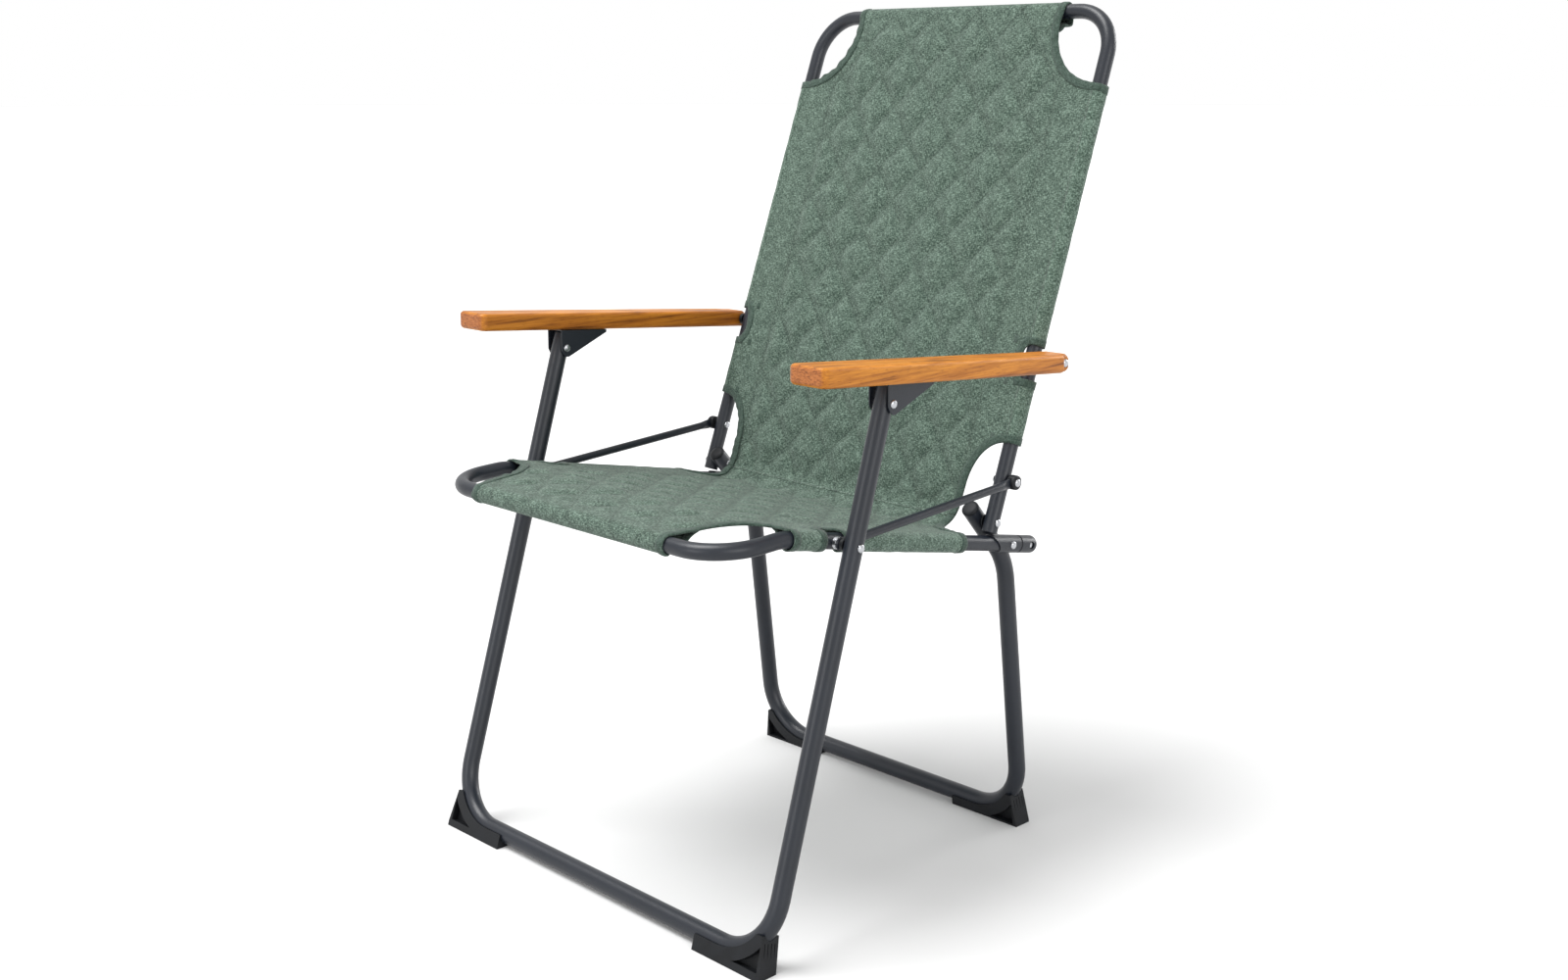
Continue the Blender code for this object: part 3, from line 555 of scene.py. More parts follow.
def make_pivots(side, s):
    frame_in, frame_out = FRAME_X - FRAME_RADIUS, FRAME_X + FRAME_RADIUS
    rear_in = REAR_X - LEG_RADIUS
    leg_in, leg_out = LEG_X - LEG_RADIUS, LEG_X + LEG_RADIUS
    rod_in, rod_out = ROD_X - ROD_HALF_THICK, ROD_X + ROD_HALF_THICK
    rivet("leg_rivet_" + side, LEG_PIVOT, frame_in, leg_out, s, "seat")
    washer("leg_spacer_inner_" + side, LEG_PIVOT, frame_out + GAP, rod_in - GAP, s, 0.0070,
           "zinc", "seat")
    washer("leg_spacer_outer_" + side, LEG_PIVOT, rod_out + GAP, leg_in - GAP, s, 0.0070,
           "dark_plastic", "front_legs")
    rivet("seat_rivet_" + side, SEAT_PIVOT, rear_in, FRAME_X + 0.0112, s, "seat")
    rivet("back_rivet_" + side, BACK_PIVOT, rear_in, frame_out, s, "rear_legs")
    washer("back_spacer_" + side, BACK_PIVOT, REAR_X + LEG_RADIUS + GAP, frame_in - GAP, s,
           0.0075, "dark_plastic", "back")
    rivet("rod_rivet_" + side, ROD_PIVOT, ROD_CAP_IN, ROD_CAP_OUT, s, "side_rods", False)
    rivet("rod_anchor_" + side, ROD_PIVOT, -frame_out - 0.0015, -frame_in, -s, "back", False)
    rivet("armrest_anchor_" + side, ARM_BOLT, -frame_out - 0.0030, -frame_in, -s, "back", False)
    washer("armrest_spacer_" + side, ARM_BOLT, frame_out + GAP, ARM_INNER_X - 0.0010, s, 0.0075,
           "dark_plastic", "back")
    rivet("bracket_rivet_" + side, ARM_PIVOT, LEG_X - BRACKET_HALF, LEG_X + BRACKET_HALF, s,
          "armrests")
    rivet("armrest_bolt_" + side, ARM_BOLT, ARM_INNER_X, TONGUE_X, s, "armrests", False)


SLEEVE_REAR, SLEEVE_FRONT, SLEEVE_SLANT = -0.0170, 0.027, 0.010
SLEEVE_OUT, SLEEVE_EDGE = 0.0112, 0.0003      # outer radius, and what its edges lose
CAP_OUT, CAP_ROUND, CAP_LENGTH = 0.0112, 0.0085, 0.0334
PLUG_INSIDE, PLUG_RIM, PLUG_DOME = 0.010, 0.0010, 0.0036


def hinge_sleeve(side, s):
    """Sleeve round the rear end of the seat tube; its front edge slants."""
    bm = bmesh.new()
    bore = FRAME_RADIUS + GAP
    edge = SLEEVE_OUT - SLEEVE_EDGE
    rings = []
    for share, radius in ((0.0, bore), (0.0, edge), (0.0004, SLEEVE_OUT), (1.0, SLEEVE_OUT),
                          (1.0004, edge), (1.0, bore)):
        def spot(up, out):
            front = SLEEVE_FRONT + SLEEVE_SLANT * up
            ahead = SLEEVE_REAR + min(share, 1.0) * (front - SLEEVE_REAR)
            return at_x(s * (FRAME_X + radius * out), on_seat(ahead, radius * up))

        rings.append(add_ring(bm, 40, spot))
    join_rings(bm, rings, close=True)
    dress("hinge_sleeve_" + side, bm, "powder_coat", "seat")


def seat_end(side, s):
    """Plastic ring, end cap and the cap's recessed screw, behind the hinge sleeve."""
    hinge_sleeve(side, s)
    rearward = at_x(0.0, SEAT_DIR) * -1.0
    profile = [(0.0, 0.0040), (0.0, 0.0102), (0.0003, 0.0105), (0.0017, 0.0105), (0.0020, 0.0102),
               (0.0020, 0.0040)]
    turned("seat_end_ring_" + side, at_x(s * FRAME_X, on_seat(SLEEVE_REAR - GAP)), rearward,
           profile, "dark_plastic", "seat", ring=True)
    shoulder = CAP_LENGTH - CAP_ROUND
    profile = [(0.0, 0.0104), (0.0006, 0.0111), (shoulder, CAP_OUT)]
    profile += rounded_end(shoulder, CAP_ROUND, CAP_OUT, 0.7)[1:]
    cap = turned("seat_end_cap_" + side, at_x(s * FRAME_X, on_seat(-0.0196)), rearward, profile,
                 "powder_coat", "seat", sides=40)
    screw = on_seat(-0.0385)
    pocket = turned("pocket", at_x(s * (FRAME_X + 0.0075), screw), outward(s),
                    [(0.0, 0.0046), (0.02, 0.0046)], "dark_plastic", None)
    apply_cut(cap, pocket)
    profile = [(0.0, 0.0015), (0.0112, 0.0015), (0.0112, 0.0036), (0.0121, 0.0036), (0.0128, 0.0026)]
    turned("cap_screw_" + side, at_x(s * (FRAME_X - 0.0032), screw), outward(s), profile, "zinc",
           "seat")


def rear_leg_plug(side, s):
    start = at_x(s * REAR_X, step_from(REAR_TIP, HINGE_DIR, PLUG_INSIDE))
    bore = LEG_RADIUS - WALL - GAP
    edge = PLUG_INSIDE + GAP
    rim = edge + PLUG_RIM
    profile = [(0.0, bore * 0.9), (edge, bore * 0.97), (edge, LEG_RADIUS), (rim, LEG_RADIUS)]
    profile += rounded_end(rim, PLUG_DOME, LEG_RADIUS, 0.6, steps=6)[1:]
    turned("rear_leg_plug_" + side, start, at_x(0.0, HINGE_DIR) * -1.0, profile, "dark_plastic",
           "rear_legs", sides=36)


def smooth_between(stations, steps):
    """Stations (distance, value, value) with eased values in between."""
    result = [stations[0]]
    for first, second in zip(stations, stations[1:]):
        for i in range(1, steps + 1):
            t = i / steps
            ease = t * t * (3.0 - 2.0 * t)
            result.append((first[0] + (second[0] - first[0]) * t,
                           first[1] + (second[1] - first[1]) * ease,
                           first[2] + (second[2] - first[2]) * ease))
    return result


def side_rod(side, s):
    """Round rod, pressed flat at both ends."""
    start, end = at_x(s * ROD_X, LEG_PIVOT), at_x(s * ROD_X, ROD_PIVOT)
    length = (end - start).length
    axis = (end - start).normalized()
    flat = outward(s)
    wide = axis.cross(flat)
    stations = [(-0.0080, 0.0030, 0.0016), (-0.0055, 0.0066, 0.0020), (0.0, 0.0080, 0.0020),
                (0.0080, 0.0070, 0.0022), (0.0200, 0.0050, 0.0050),
                (length - 0.0260, 0.0050, 0.0050), (length - 0.0120, 0.0064, 0.0020),
                (length + 0.0030, 0.0062, 0.0015), (length + 0.0062, 0.0040, 0.0015)]
    bm = bmesh.new()
    rings = [add_ring(bm, 24, lambda c, d: start + axis * distance
                      + (wide * (half_wide * c) + flat * (half_flat * d)))
             for distance, half_wide, half_flat in smooth_between(stations, 5)]
    join_rings(bm, rings, ends=True)
    dress("side_rod_" + side, bm, "powder_coat", "side_rods")
    thick = ROD_CAP_OUT - ROD_CAP_IN
    profile = [(0.0, 0.0074), (0.0008, 0.0087), (0.0020, 0.0090), (thick - 0.0024, 0.0090),
               (thick - 0.0009, 0.0086), (thick, 0.0072)]
    cap = turned("rod_cap_" + side, at_x(s * ROD_CAP_IN, ROD_PIVOT), outward(s), profile,
                 "dark_plastic", "side_rods")
    middle = at_x(s * ROD_X, ROD_PIVOT)

    def slot_place(u, v, w):
        return middle + axis * u + wide * v + outward(w)

    half = 0.0068
    slot = prism("slot", [(-0.014, -half), (half, -half), (half, half), (-0.014, half)],
                 -0.0024, 0.0024, slot_place, "dark_plastic", None)
    apply_cut(cap, slot)


# ---- armrests
ARM_THICK = 0.0225
ARM_SLOPE = -0.0797
TONGUE_LONG = 0.0230
TONGUE_EDGE = 0.0086          # rounding of the tongue's end, above and below
ARM_EDGE = 0.0050


def armrest(side, s):
    """Wooden board, wider in front, with a narrower round-ended tongue behind."""
    low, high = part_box("armrest_" + side)
    outer, front, rear = max(abs(low.x), abs(high.x)), low.y, high.y
    step = rear - TONGUE_LONG
    points = [(ARM_FRONT_INNER_X, front), (outer, front), (ARM_REAR_OUTER_X, step),
              (TONGUE_X, step + 0.006), (TONGUE_X, rear), (ARM_INNER_X, rear)]
    outline = round_outline(points, [0.0095, 0.0095, 0.005, 0.004, 0.0, 0.0])

    def where(x, y, w):
        return Vector((s * x, y, ARM_BOLT[1] + ARM_SLOPE * (y - ARM_BOLT[0]) + w))

    half = ARM_THICK / 2.0
    board = prism("armrest_" + side, outline, -half, half, where, "oiled_wood", "armrests")
    bm = bmesh.new()
    bm.from_mesh(board.data)
    ends = [e for e in bm.edges if all(v.co.y > rear - 0.0004 for v in e.verts)
            and abs(e.verts[0].co.x - e.verts[1].co.x) > 0.01]
    bmesh.ops.bevel(bm, geom=ends, offset=TONGUE_EDGE, segments=7, profile=0.5, affect="EDGES")
    bm.to_mesh(board.data)
    bm.free()
    bevel(board, ARM_EDGE, 5, 50.0)
    board.modifiers[-1].use_clamp_overlap = False


# ---- feet
CAP_WIDE = 0.0132             # half the foot's width
CAP_LONG = 0.108
CAP_PAST = 0.0040             # the foot's end past the leg's axis
CAP_DEPTH, CAP_TOP = 0.0250, 0.0300
LEG_BEND = 0.070
POCKET_FLOOR, POCKET_END = -0.0095, 0.0055
WEB_THICK, FAR = 0.0045, 0.03
GROOVES, GROOVE_HALF = (-0.0080, -0.0027, 0.0027, 0.0080), 0.0005


def foot_cap(name, s, half_x, bar, leg_dir, path, body):
    """Saddle foot: a trough for the tube, a flat sole, an end plate and a web between them."""
    outer = half_x + CAP_PAST
    bend_x = half_x - LEG_BEND
    normal = (-leg_dir[1], leg_dir[0])
    swing = math.acos(1.0 - CAP_TOP / LEG_BEND)
    outline = [(outer - CAP_LONG, -CAP_DEPTH), (outer, -CAP_DEPTH), (outer, -0.0120),
               (outer - 0.0075, CAP_TOP)]
    for i in range(13):
        angle = swing * (1.0 - i / 12.0)
        outline.append((bend_x + LEG_BEND * math.sin(angle), LEG_BEND * (1.0 - math.cos(angle))))
    outline.append((outer - CAP_LONG, 0.0))

    def where(x, up, w):
        return at_x(s * x, step_from(bar, leg_dir, up, normal, w))

    def on_floor(u, v, w):
        return Vector((s * half_x + u, bar[0] + v, w))

    def cut(shape, low, high, spot=where):
        apply_cut(cap, prism("cutter", shape, low, high, spot, "dark_plastic", None))

    cap = prism(name, outline, -CAP_WIDE, CAP_WIDE, where, "dark_plastic", body)
    bm = bmesh.new()
    join_rings(bm, sweep_rings(bm, path, LEG_RADIUS + GAP, 30), ends=True)
    apply_cut(cap, place("trough", bm, "dark_plastic", None))
    reach = LEG_BEND + LEG_RADIUS + 0.0035
    end_x = outer - POCKET_END
    start = math.acos((LEG_BEND - POCKET_FLOOR) / reach)
    stop = math.asin((end_x - 0.0015 - half_x + LEG_BEND) / reach)
    pocket = [(end_x, POCKET_FLOOR)]
    for i in range(9):
        angle = stop + (start - stop) * i / 8.0
        pocket.append((bend_x + reach * math.sin(angle), LEG_BEND - reach * math.cos(angle)))
    cut(pocket, WEB_THICK, FAR)
    cut(pocket, -FAR, -WEB_THICK)
    groove = [(outer - 0.0008, -0.004), (outer + 0.01, -0.004), (outer + 0.01, 0.022),
              (outer - 0.0072, 0.022)]
    for w in GROOVES:
        cut(groove, w - GROOVE_HALF, w + GROOVE_HALF)
    cut([(-0.2, -0.2), (0.2, -0.2), (0.2, 0.2), (-0.2, 0.2)], -0.1, 0.0, on_floor)
    bevel(cap, 0.0006, 2, 40.0)


def make_feet():
    for side, s in SIDES.items():
        foot_cap("front_foot_cap_" + side, s, LEG_X, FRONT_BAR, LEG_DIR, front_leg_path(),
                 "front_legs")
        foot_cap("rear_foot_cap_" + side, s, REAR_X, REAR_BAR, REAR_DIR, rear_leg_path(),
                 "rear_legs")


# ---- the cloth's side-view path
CLOTH_OFF = 0.0109            # middle of the cloth above a tube's axis
SKIN = 0.0009                 # half thickness of the cloth where it lies on a tube
SLEEVE_RADIUS = CLOTH_OFF + SKIN
SEAT_POCKET, BACK_POCKET = 0.044, 0.030


def arc_round(centre, forward, up, first, last, radius, count=18):
    """Points round a rail; the angle is measured from up towards forward, in degrees."""
    points = []
    for i in range(count + 1):
        angle = math.radians(first + (last - first) * i / count)
        points.append(step_from(centre, up, radius * math.cos(angle), forward,
                                radius * math.sin(angle)))
    return points


def fillet_2d(before, corner, after, radius, steps=16):
    path = fillet_path([at_x(0.0, before), at_x(0.0, corner), at_x(0.0, after)], [radius], steps)
    return [(p.y, p.z) for p in path]


def crossing(a, a_dir, b, b_dir):
    """Where two lines in the side view meet."""
    across = (b[0] - a[0]) * b_dir[1] - (b[1] - a[1]) * b_dir[0]
    return step_from(a, a_dir, across / (a_dir[0] * b_dir[1] - a_dir[1] * b_dir[0]))


def cloth_path():
    """From the seam of the seat's front pocket, over seat and back, to the seam of the top pocket."""
    ahead = (-LEVEL_DIR[0], -LEVEL_DIR[1])
    points = [step_from(RAIL, LEVEL_DIR, SEAT_POCKET, LEVEL_UP, CLOTH_OFF - 0.0030)]
    points += arc_round(RAIL, ahead, LEVEL_UP, 158.0, 0.0, CLOTH_OFF)
    seat_line = on_seat(0.0, CLOTH_OFF)
    back_line = on_back(0.0, CLOTH_OFF)
    kink = crossing(step_from(RAIL, LEVEL_UP, CLOTH_OFF), LEVEL_DIR, seat_line, SEAT_DIR)
    points += fillet_2d(points[-1], kink, on_seat(0.30, CLOTH_OFF), 0.09)[1:-1]
    corner = crossing(seat_line, SEAT_DIR, back_line, BACK_DIR)
    points += fillet_2d(on_seat(0.30, CLOTH_OFF), corner, on_back(0.50, CLOTH_OFF), 0.036)[:-1]
    top = on_back(TOP_ABOVE)
    points += arc_round(top, (-BACK_FRONT[0], -BACK_FRONT[1]), BACK_DIR, -90.0, 100.0, CLOTH_OFF, 22)
    points += arc_round(on_back(TOP_ABOVE - 0.0075, -0.0030), (-BACK_FRONT[0], -BACK_FRONT[1]),
                        BACK_DIR, 100.0, 195.0, 0.0100, 10)
    points.append(on_back(TOP_ABOVE - BACK_POCKET, CLOTH_OFF - 0.0030))
    return points


class SidePath:
    """Arc-length look-up along the cloth's side-view path."""

    def __init__(self, points, pitch=0.001):
        rough = np.array(points, float)
        keep = np.r_[True, np.hypot(*np.diff(rough, axis=0).T) > 1e-6]
        rough = rough[keep]
        run = np.r_[0.0, np.cumsum(np.hypot(*np.diff(rough, axis=0).T))]
        self.s = np.linspace(0.0, run[-1], int(run[-1] / pitch) + 1)
        self.yz = np.stack([np.interp(self.s, run, rough[:, i]) for i in (0, 1)], axis=1)
        way = np.gradient(self.yz, self.s, axis=0)
        way /= np.hypot(*way.T)[:, None]
        self.normal = np.stack([-way[:, 1], way[:, 0]], axis=1)
        self.length = run[-1]

    def nearest(self, yz):
        return float(self.s[np.argmin(np.hypot(*(self.yz - np.array(yz)).T))])

    def world(self, x, s, h):
        """Sheet places to the frame: arrays of x, s and height above the cloth's middle."""
        y = np.interp(s, self.s, self.yz[:, 0]) + np.interp(s, self.s, self.normal[:, 0]) * h
        z = np.interp(s, self.s, self.yz[:, 1]) + np.interp(s, self.s, self.normal[:, 1]) * h
        return np.stack([np.broadcast_to(x, y.shape), y, z], axis=-1)


PATH = SidePath(cloth_path())
S_RAIL = PATH.nearest(step_from(RAIL, LEVEL_UP, CLOTH_OFF))
S_TOP = PATH.nearest(on_back(TOP_ABOVE, CLOTH_OFF))
S_SEAT = PATH.nearest(on_seat(0.20, CLOTH_OFF)) + 0.20        # s of the seat pivot on the seat's line
S_BACK = PATH.nearest(on_back(0.30, CLOTH_OFF)) - 0.30        # s of the back pivot on the back's line
S_CREASE = (PATH.nearest(on_seat(0.085, CLOTH_OFF)) + PATH.nearest(on_back(0.035, CLOTH_OFF))) / 2.0
CREASE_POINT = Vector(PATH.world(np.array([0.0]), np.array([S_CREASE]), np.array([0.0]))[0])
QUILT_START = S_BACK + 0.480 - DIAMOND_HIGH / 2.0             # a diamond's middle is 0.480 up the back


def seat_s(ahead):
    return S_SEAT - ahead


def back_s(above):
    return S_BACK + above


# ---- the cloth's outline
WEB_HALF = 0.204
SEAT_SLEEVES = ((0.0900, 0.3050), (0.3330, 0.3850))
BACK_SLEEVES = ((0.0975, 0.1780), (0.2210, 0.5570))
# a cut: (s where it leaves the sleeve, s where it runs along the cloth, half width there)
CUTS = ((seat_s(0.3850), S_RAIL + 0.0330, 0.1820), (seat_s(0.0900), seat_s(0.0600), WEB_HALF),
        (back_s(0.0975), back_s(0.0350), 0.2060), (back_s(0.5570), back_s(0.6400), 0.1745))
NOTCHES = ((seat_s(0.3330), seat_s(0.3050)), (back_s(0.1780), back_s(0.2210)))
NOTCH_DEPTHS = (0.0130, 0.0095)
RAIL_HALF, TOP_HALF = 0.1735, 0.1765


def half_width(s):
    """Half width of the cloth's flat part at s."""
    (front, front_end, front_half), (rear, rear_end, _), (low, low_end, low_half), \
        (high, high_end, high_half) = CUTS
    if s <= S_RAIL:
        return RAIL_HALF
    if s < front_end:
        return RAIL_HALF + (front_half - RAIL_HALF) * (s - S_RAIL) / (front_end - S_RAIL)
    if rear_end < s <= low_end:
        return WEB_HALF + (low_half - WEB_HALF) * (s - rear_end) / (low_end - rear_end)
    if s >= high_end:
        return high_half + (TOP_HALF - high_half) * min(1.0, (s - high_end) / (S_TOP - high_end))
    for leave, end, half in CUTS:
        if min(leave, end) <= s <= max(leave, end):
            share = (s - end) / (leave - end)
            return FRAME_X - (FRAME_X - half) * math.sqrt(1.0 - share * share)
    for (first, last), depth in zip(NOTCHES, NOTCH_DEPTHS):
        if first < s < last:
            share = (2.0 * s - first - last) / (last - first)
            return FRAME_X - depth * math.sqrt(1.0 - share * share)
    return FRAME_X


def sine_steps(middle, reach, angles):
    return [middle + reach * math.sin(math.radians(angle)) for angle in angles]


def cloth_rows(first, last, pitch):
    """Row places between two s values, closer together where the outline turns."""
    rows = list(np.linspace(first, last, round((last - first) / pitch) + 1))
    for leave, end, _ in CUTS:
        rows += sine_steps(end, leave - end, (64, 72, 78, 83, 86.5, 89, 90))
        rows.append(leave + math.copysign(0.0004, leave - end))
    for low, high in NOTCHES:
        middle, half = (low + high) / 2.0, (high - low) / 2.0
        rows += sine_steps(middle, half, range(-90, 91, 15))
    rows = sorted(r for r in rows if first <= r <= last)
    kept = [rows[0]]
    for r in rows[1:]:
        if r - kept[-1] > 0.00015:
            kept.append(r)
    return np.array(kept)


# ---- quilting
QUILT_MARGIN = 0.012
END_MARGIN = 0.018
PILLOW_HIGH, PILLOW_WIDE = 0.0030, 0.0075
FRAMES = 18                   # of the simulation
PUFF_SETTINGS = {"vertex_group_mass": "seams", "quality": 5, "mass": 0.25,
                 "tension_stiffness": 12.0, "compression_stiffness": 12.0,
                 "shear_stiffness": 6.0, "bending_stiffness": 0.25, "use_pressure": True,
                 "uniform_pressure_force": 5.0, "shrink_min": -0.012, "shrink_max": -0.012}
PILLOW_SHARE, PUFF_SHARE = 0.45, 0.85         # of the drawn and the simulated relief
PUFF_LOW, PUFF_HIGH = -0.002, 0.0038
BACK_SHARE = 0.45             # relief of the back skin
SLACK = 0.0050


def seam_distance(x, s):
    """Distances to the nearest quilting seam of each direction."""
    gradient = math.hypot(1.0 / DIAMOND_WIDE, 1.0 / DIAMOND_HIGH)
    first = x / DIAMOND_WIDE + (s - QUILT_START) / DIAMOND_HIGH
    second = x / DIAMOND_WIDE - (s - QUILT_START) / DIAMOND_HIGH
    return [np.abs(f - np.round(f)) / gradient for f in (first, second)]


def edge_fade(x, s, half, first, last):
    """0 at the cloth's edges, pockets and tubes, 1 in its middle."""
    side = np.clip((np.minimum(half - 0.008, QUILT_HALF) - np.abs(x)) / QUILT_MARGIN, 0.0, 1.0)
    ends = (np.clip((s - first) / END_MARGIN, 0.0, 1.0)
            * np.clip((last - s) / END_MARGIN, 0.0, 1.0))
    fade = side * ends
    return fade * fade * (3.0 - 2.0 * fade)


def soft_noise(x, s, size, seed):
    """Smooth noise, from -1 to 1, over the flat cloth."""
    flat = np.stack([np.ravel(x) / size, np.ravel(s) / size], axis=1)
    values = [noise.noise((a, b, seed)) for a, b in flat]
    return np.array(values).reshape(np.shape(x))


def quilt_height(x, s, fade):
    """Pillows between the seams, with small puckers running into them."""
    a, b = seam_distance(x, s)
    pillow = (1.0 - np.exp(-(a / PILLOW_WIDE) ** 2)) * (1.0 - np.exp(-(b / PILLOW_WIDE) ** 2))
    near = np.exp(-np.minimum(a, b) / 0.010)
    pucker = soft_noise(x, s, 0.011, 3.0) * near * 0.0007
    return fade * (PILLOW_HIGH * pillow + pucker - 0.0006)


def simulate_puff(x, s, fade):
    """Cloth simulation of the flat panel, held along its seams and blown up from below."""
    rows, columns = x.shape
    mesh = bpy.data.meshes.new("puff")
    points = np.stack([x, s, np.zeros_like(x)], axis=-1).reshape(-1, 3)
    index = np.arange(rows * columns).reshape(rows, columns)
    mesh.from_pydata(points.tolist(), [], grid_faces(index)[:, [0, 3, 2, 1]].tolist())
    sheet = add_object("puff", mesh)
    a, b = seam_distance(x, s)
    held = (np.minimum(a, b) < 0.0021) | (fade < 0.04)
    pins = sheet.vertex_groups.new(name="seams")
    pins.add([int(i) for i in np.flatnonzero(held.ravel())], 1.0, "REPLACE")
    cloth = sheet.modifiers.new("cloth", "CLOTH")
    settings = cloth.settings
    for key, value in PUFF_SETTINGS.items():
        setattr(settings, key, value)
    settings.effector_weights.gravity = 0.0
    cloth.collision_settings.use_collision = False
    cloth.point_cache.frame_start, cloth.point_cache.frame_end = 1, FRAMES
    scene = bpy.context.scene
    for step in range(1, FRAMES + 1):
        scene.frame_set(step)
    evaluated = sheet.evaluated_get(bpy.context.evaluated_depsgraph_get())
    moved = np.array([v.co for v in evaluated.data.vertices], float).reshape(rows, columns, 3)
    scene.frame_set(1)
    bpy.data.objects.remove(sheet, do_unlink=True)
    bpy.data.meshes.remove(mesh)
    shift = moved - points.reshape(rows, columns, 3)
    return np.clip(shift, -0.0045, 0.0045)


# ---- cloth pieces
def grid_faces(index):
    return np.stack([index[:-1, :-1], index[1:, :-1], index[1:, 1:], index[:-1, 1:]],
                    axis=-1).reshape(-1, 4)


def wrapped_faces(rows, ring):
    """Vertex numbers row by row, and the faces of a grid that closes on itself."""
    index = np.arange(rows * ring).reshape(rows, ring)
    return index, grid_faces(np.concatenate([index, index[:, :1]], axis=1))


def face_outward(mesh):
    bm = bmesh.new()
    bm.from_mesh(mesh)
    bmesh.ops.recalc_face_normals(bm, faces=bm.faces)
    bm.to_mesh(mesh)
    bm.free()


def add_uv(mesh, flat):
    """Store each vertex's flat place on the cloth, so that the weave follows the cloth."""
    layer = mesh.uv_layers.new(name="cloth")
    loops = np.zeros(len(mesh.loops), int)
    mesh.loops.foreach_get("vertex_index", loops)
    layer.data.foreach_set("uv", np.asarray(flat, np.float32)[loops].ravel())


def cloth_mesh(name, points, faces, flat, look):
    mesh = bpy.data.meshes.new(name)
    mesh.from_pydata([tuple(p) for p in points], [], [tuple(int(i) for i in f) for f in faces])
    mesh.shade_smooth()
    mesh.materials.append(LOOKS[look])
    add_uv(mesh, flat)
    piece = add_object(name, mesh)
    return piece


def panel(name, first, last, pitch=0.0036):
    """Quilted panel between two s values, as a closed front and back skin."""
    s_rows = cloth_rows(first, last, pitch)
    halves = np.array([half_width(s) for s in s_rows])
    columns = round(2.0 * FRAME_X / pitch)
    across = np.linspace(-1.0, 1.0, columns + 1)
    x = halves[:, None] * across[None, :]
    s = np.repeat(s_rows[:, None], columns + 1, axis=1)
    fade = edge_fade(x, s, halves[:, None], max(first, S_RAIL + 0.012), min(last, S_TOP - 0.014))
    height = quilt_height(x, s, fade)
    dx = ds = np.zeros_like(x)
    shift = simulate_puff(x, s, fade)
    a, b = seam_distance(x, s)
    release = 1.0 - np.exp(-(np.minimum(a, b) / 0.005) ** 2)
    puff = np.clip(shift[..., 2], PUFF_LOW, PUFF_HIGH)
    height = PILLOW_SHARE * height + PUFF_SHARE * fade * release * puff
    dx, ds = shift[..., 0] * fade, shift[..., 1] * fade
    middle = np.clip(1.0 - (np.abs(x) / FRAME_X) ** 2, 0.0, 1.0)
    along = np.clip((s - S_RAIL) / 0.12, 0.0, 1.0) * np.clip((S_TOP - s) / 0.12, 0.0, 1.0)
    slack = -SLACK * middle * along + soft_noise(x, s, 0.085, 8.0) * 0.0016 * fade
    padding = 0.0011 * fade
    front = PATH.world(x + dx, s + ds, SKIN + height + slack)
    back = PATH.world(x, s, -SKIN - padding - BACK_SHARE * height + slack)
    count = x.size
    index = np.arange(count).reshape(x.shape)
    faces = [grid_faces(index)[:, ::-1], grid_faces(index + count)]
    rim = np.r_[index[0, :], index[1:, -1], index[-1, -2::-1], index[-2:0:-1, 0]]
    after = np.roll(rim, -1)
    faces.append(np.stack([rim, after, after + count, rim + count], axis=1))
    flat = np.stack([x, s - QUILT_START], axis=-1).reshape(-1, 2)
    points = np.concatenate([front.reshape(-1, 3), back.reshape(-1, 3)])
    return cloth_mesh(name, points, np.concatenate(faces), np.concatenate([flat, flat]), "quilt")


def sleeve_section(count=26):
    """Cross-section round a side tube: (outward, up) from the tube's axis, as a closed loop."""
    loop = [(-0.0250, CLOTH_OFF - 0.0002), (-0.0140, CLOTH_OFF - 0.0001),
            (-0.0060, CLOTH_OFF + 0.0002)]
    for i in range(count + 1):
        angle = math.radians(232.0 * i / count)
        loop.append((SLEEVE_RADIUS * math.sin(angle), SLEEVE_RADIUS * math.cos(angle)))
    loop += [(-0.0145, 0.0005), (-0.0200, 0.0062), (-0.0262, CLOTH_OFF - 0.0020)]
    return loop


def sleeve(name, s_from, s_to, side, body, look="cloth", grow=0.0, seed=0.0):
    """Part of the cloth that wraps a side tube between two s values."""
    section = sleeve_section()
    girth = np.r_[0.0, np.cumsum([math.dist(a, b) for a, b in zip(section, section[1:])])]
    rows = max(3, round(abs(s_to - s_from) / 0.0045)) + 1
    points, flat = [], []
    for s in np.linspace(s_from, s_to, rows):
        for k, (out, up) in enumerate(section):
            reach = math.hypot(out, up)
            ripple = 0.00045 * noise.noise((s / 0.017, girth[k] / 0.012, seed)) if out > -0.004 else 0.0
            scale = 1.0 + (grow + ripple) / reach
            points.append(PATH.world(np.array([side * (FRAME_X + out * scale)]), np.array([s]),
                                     np.array([up * scale - CLOTH_OFF]))[0])
            flat.append((side * (FRAME_X + girth[k]), s))
    _, faces = wrapped_faces(rows, len(section))
    piece = cloth_mesh(name, points, faces, flat, look)
    solid = piece.modifiers.new("cloth_thickness", "SOLIDIFY")
    solid.thickness = 0.0009
    solid.offset = -1.0
    face_outward(piece.data)
    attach(piece, body)
    return piece


TAPE_WIDE = 0.0095


def outline_points(s_values, side):
    return [np.array([side * half_width(s), s]) for s in s_values]


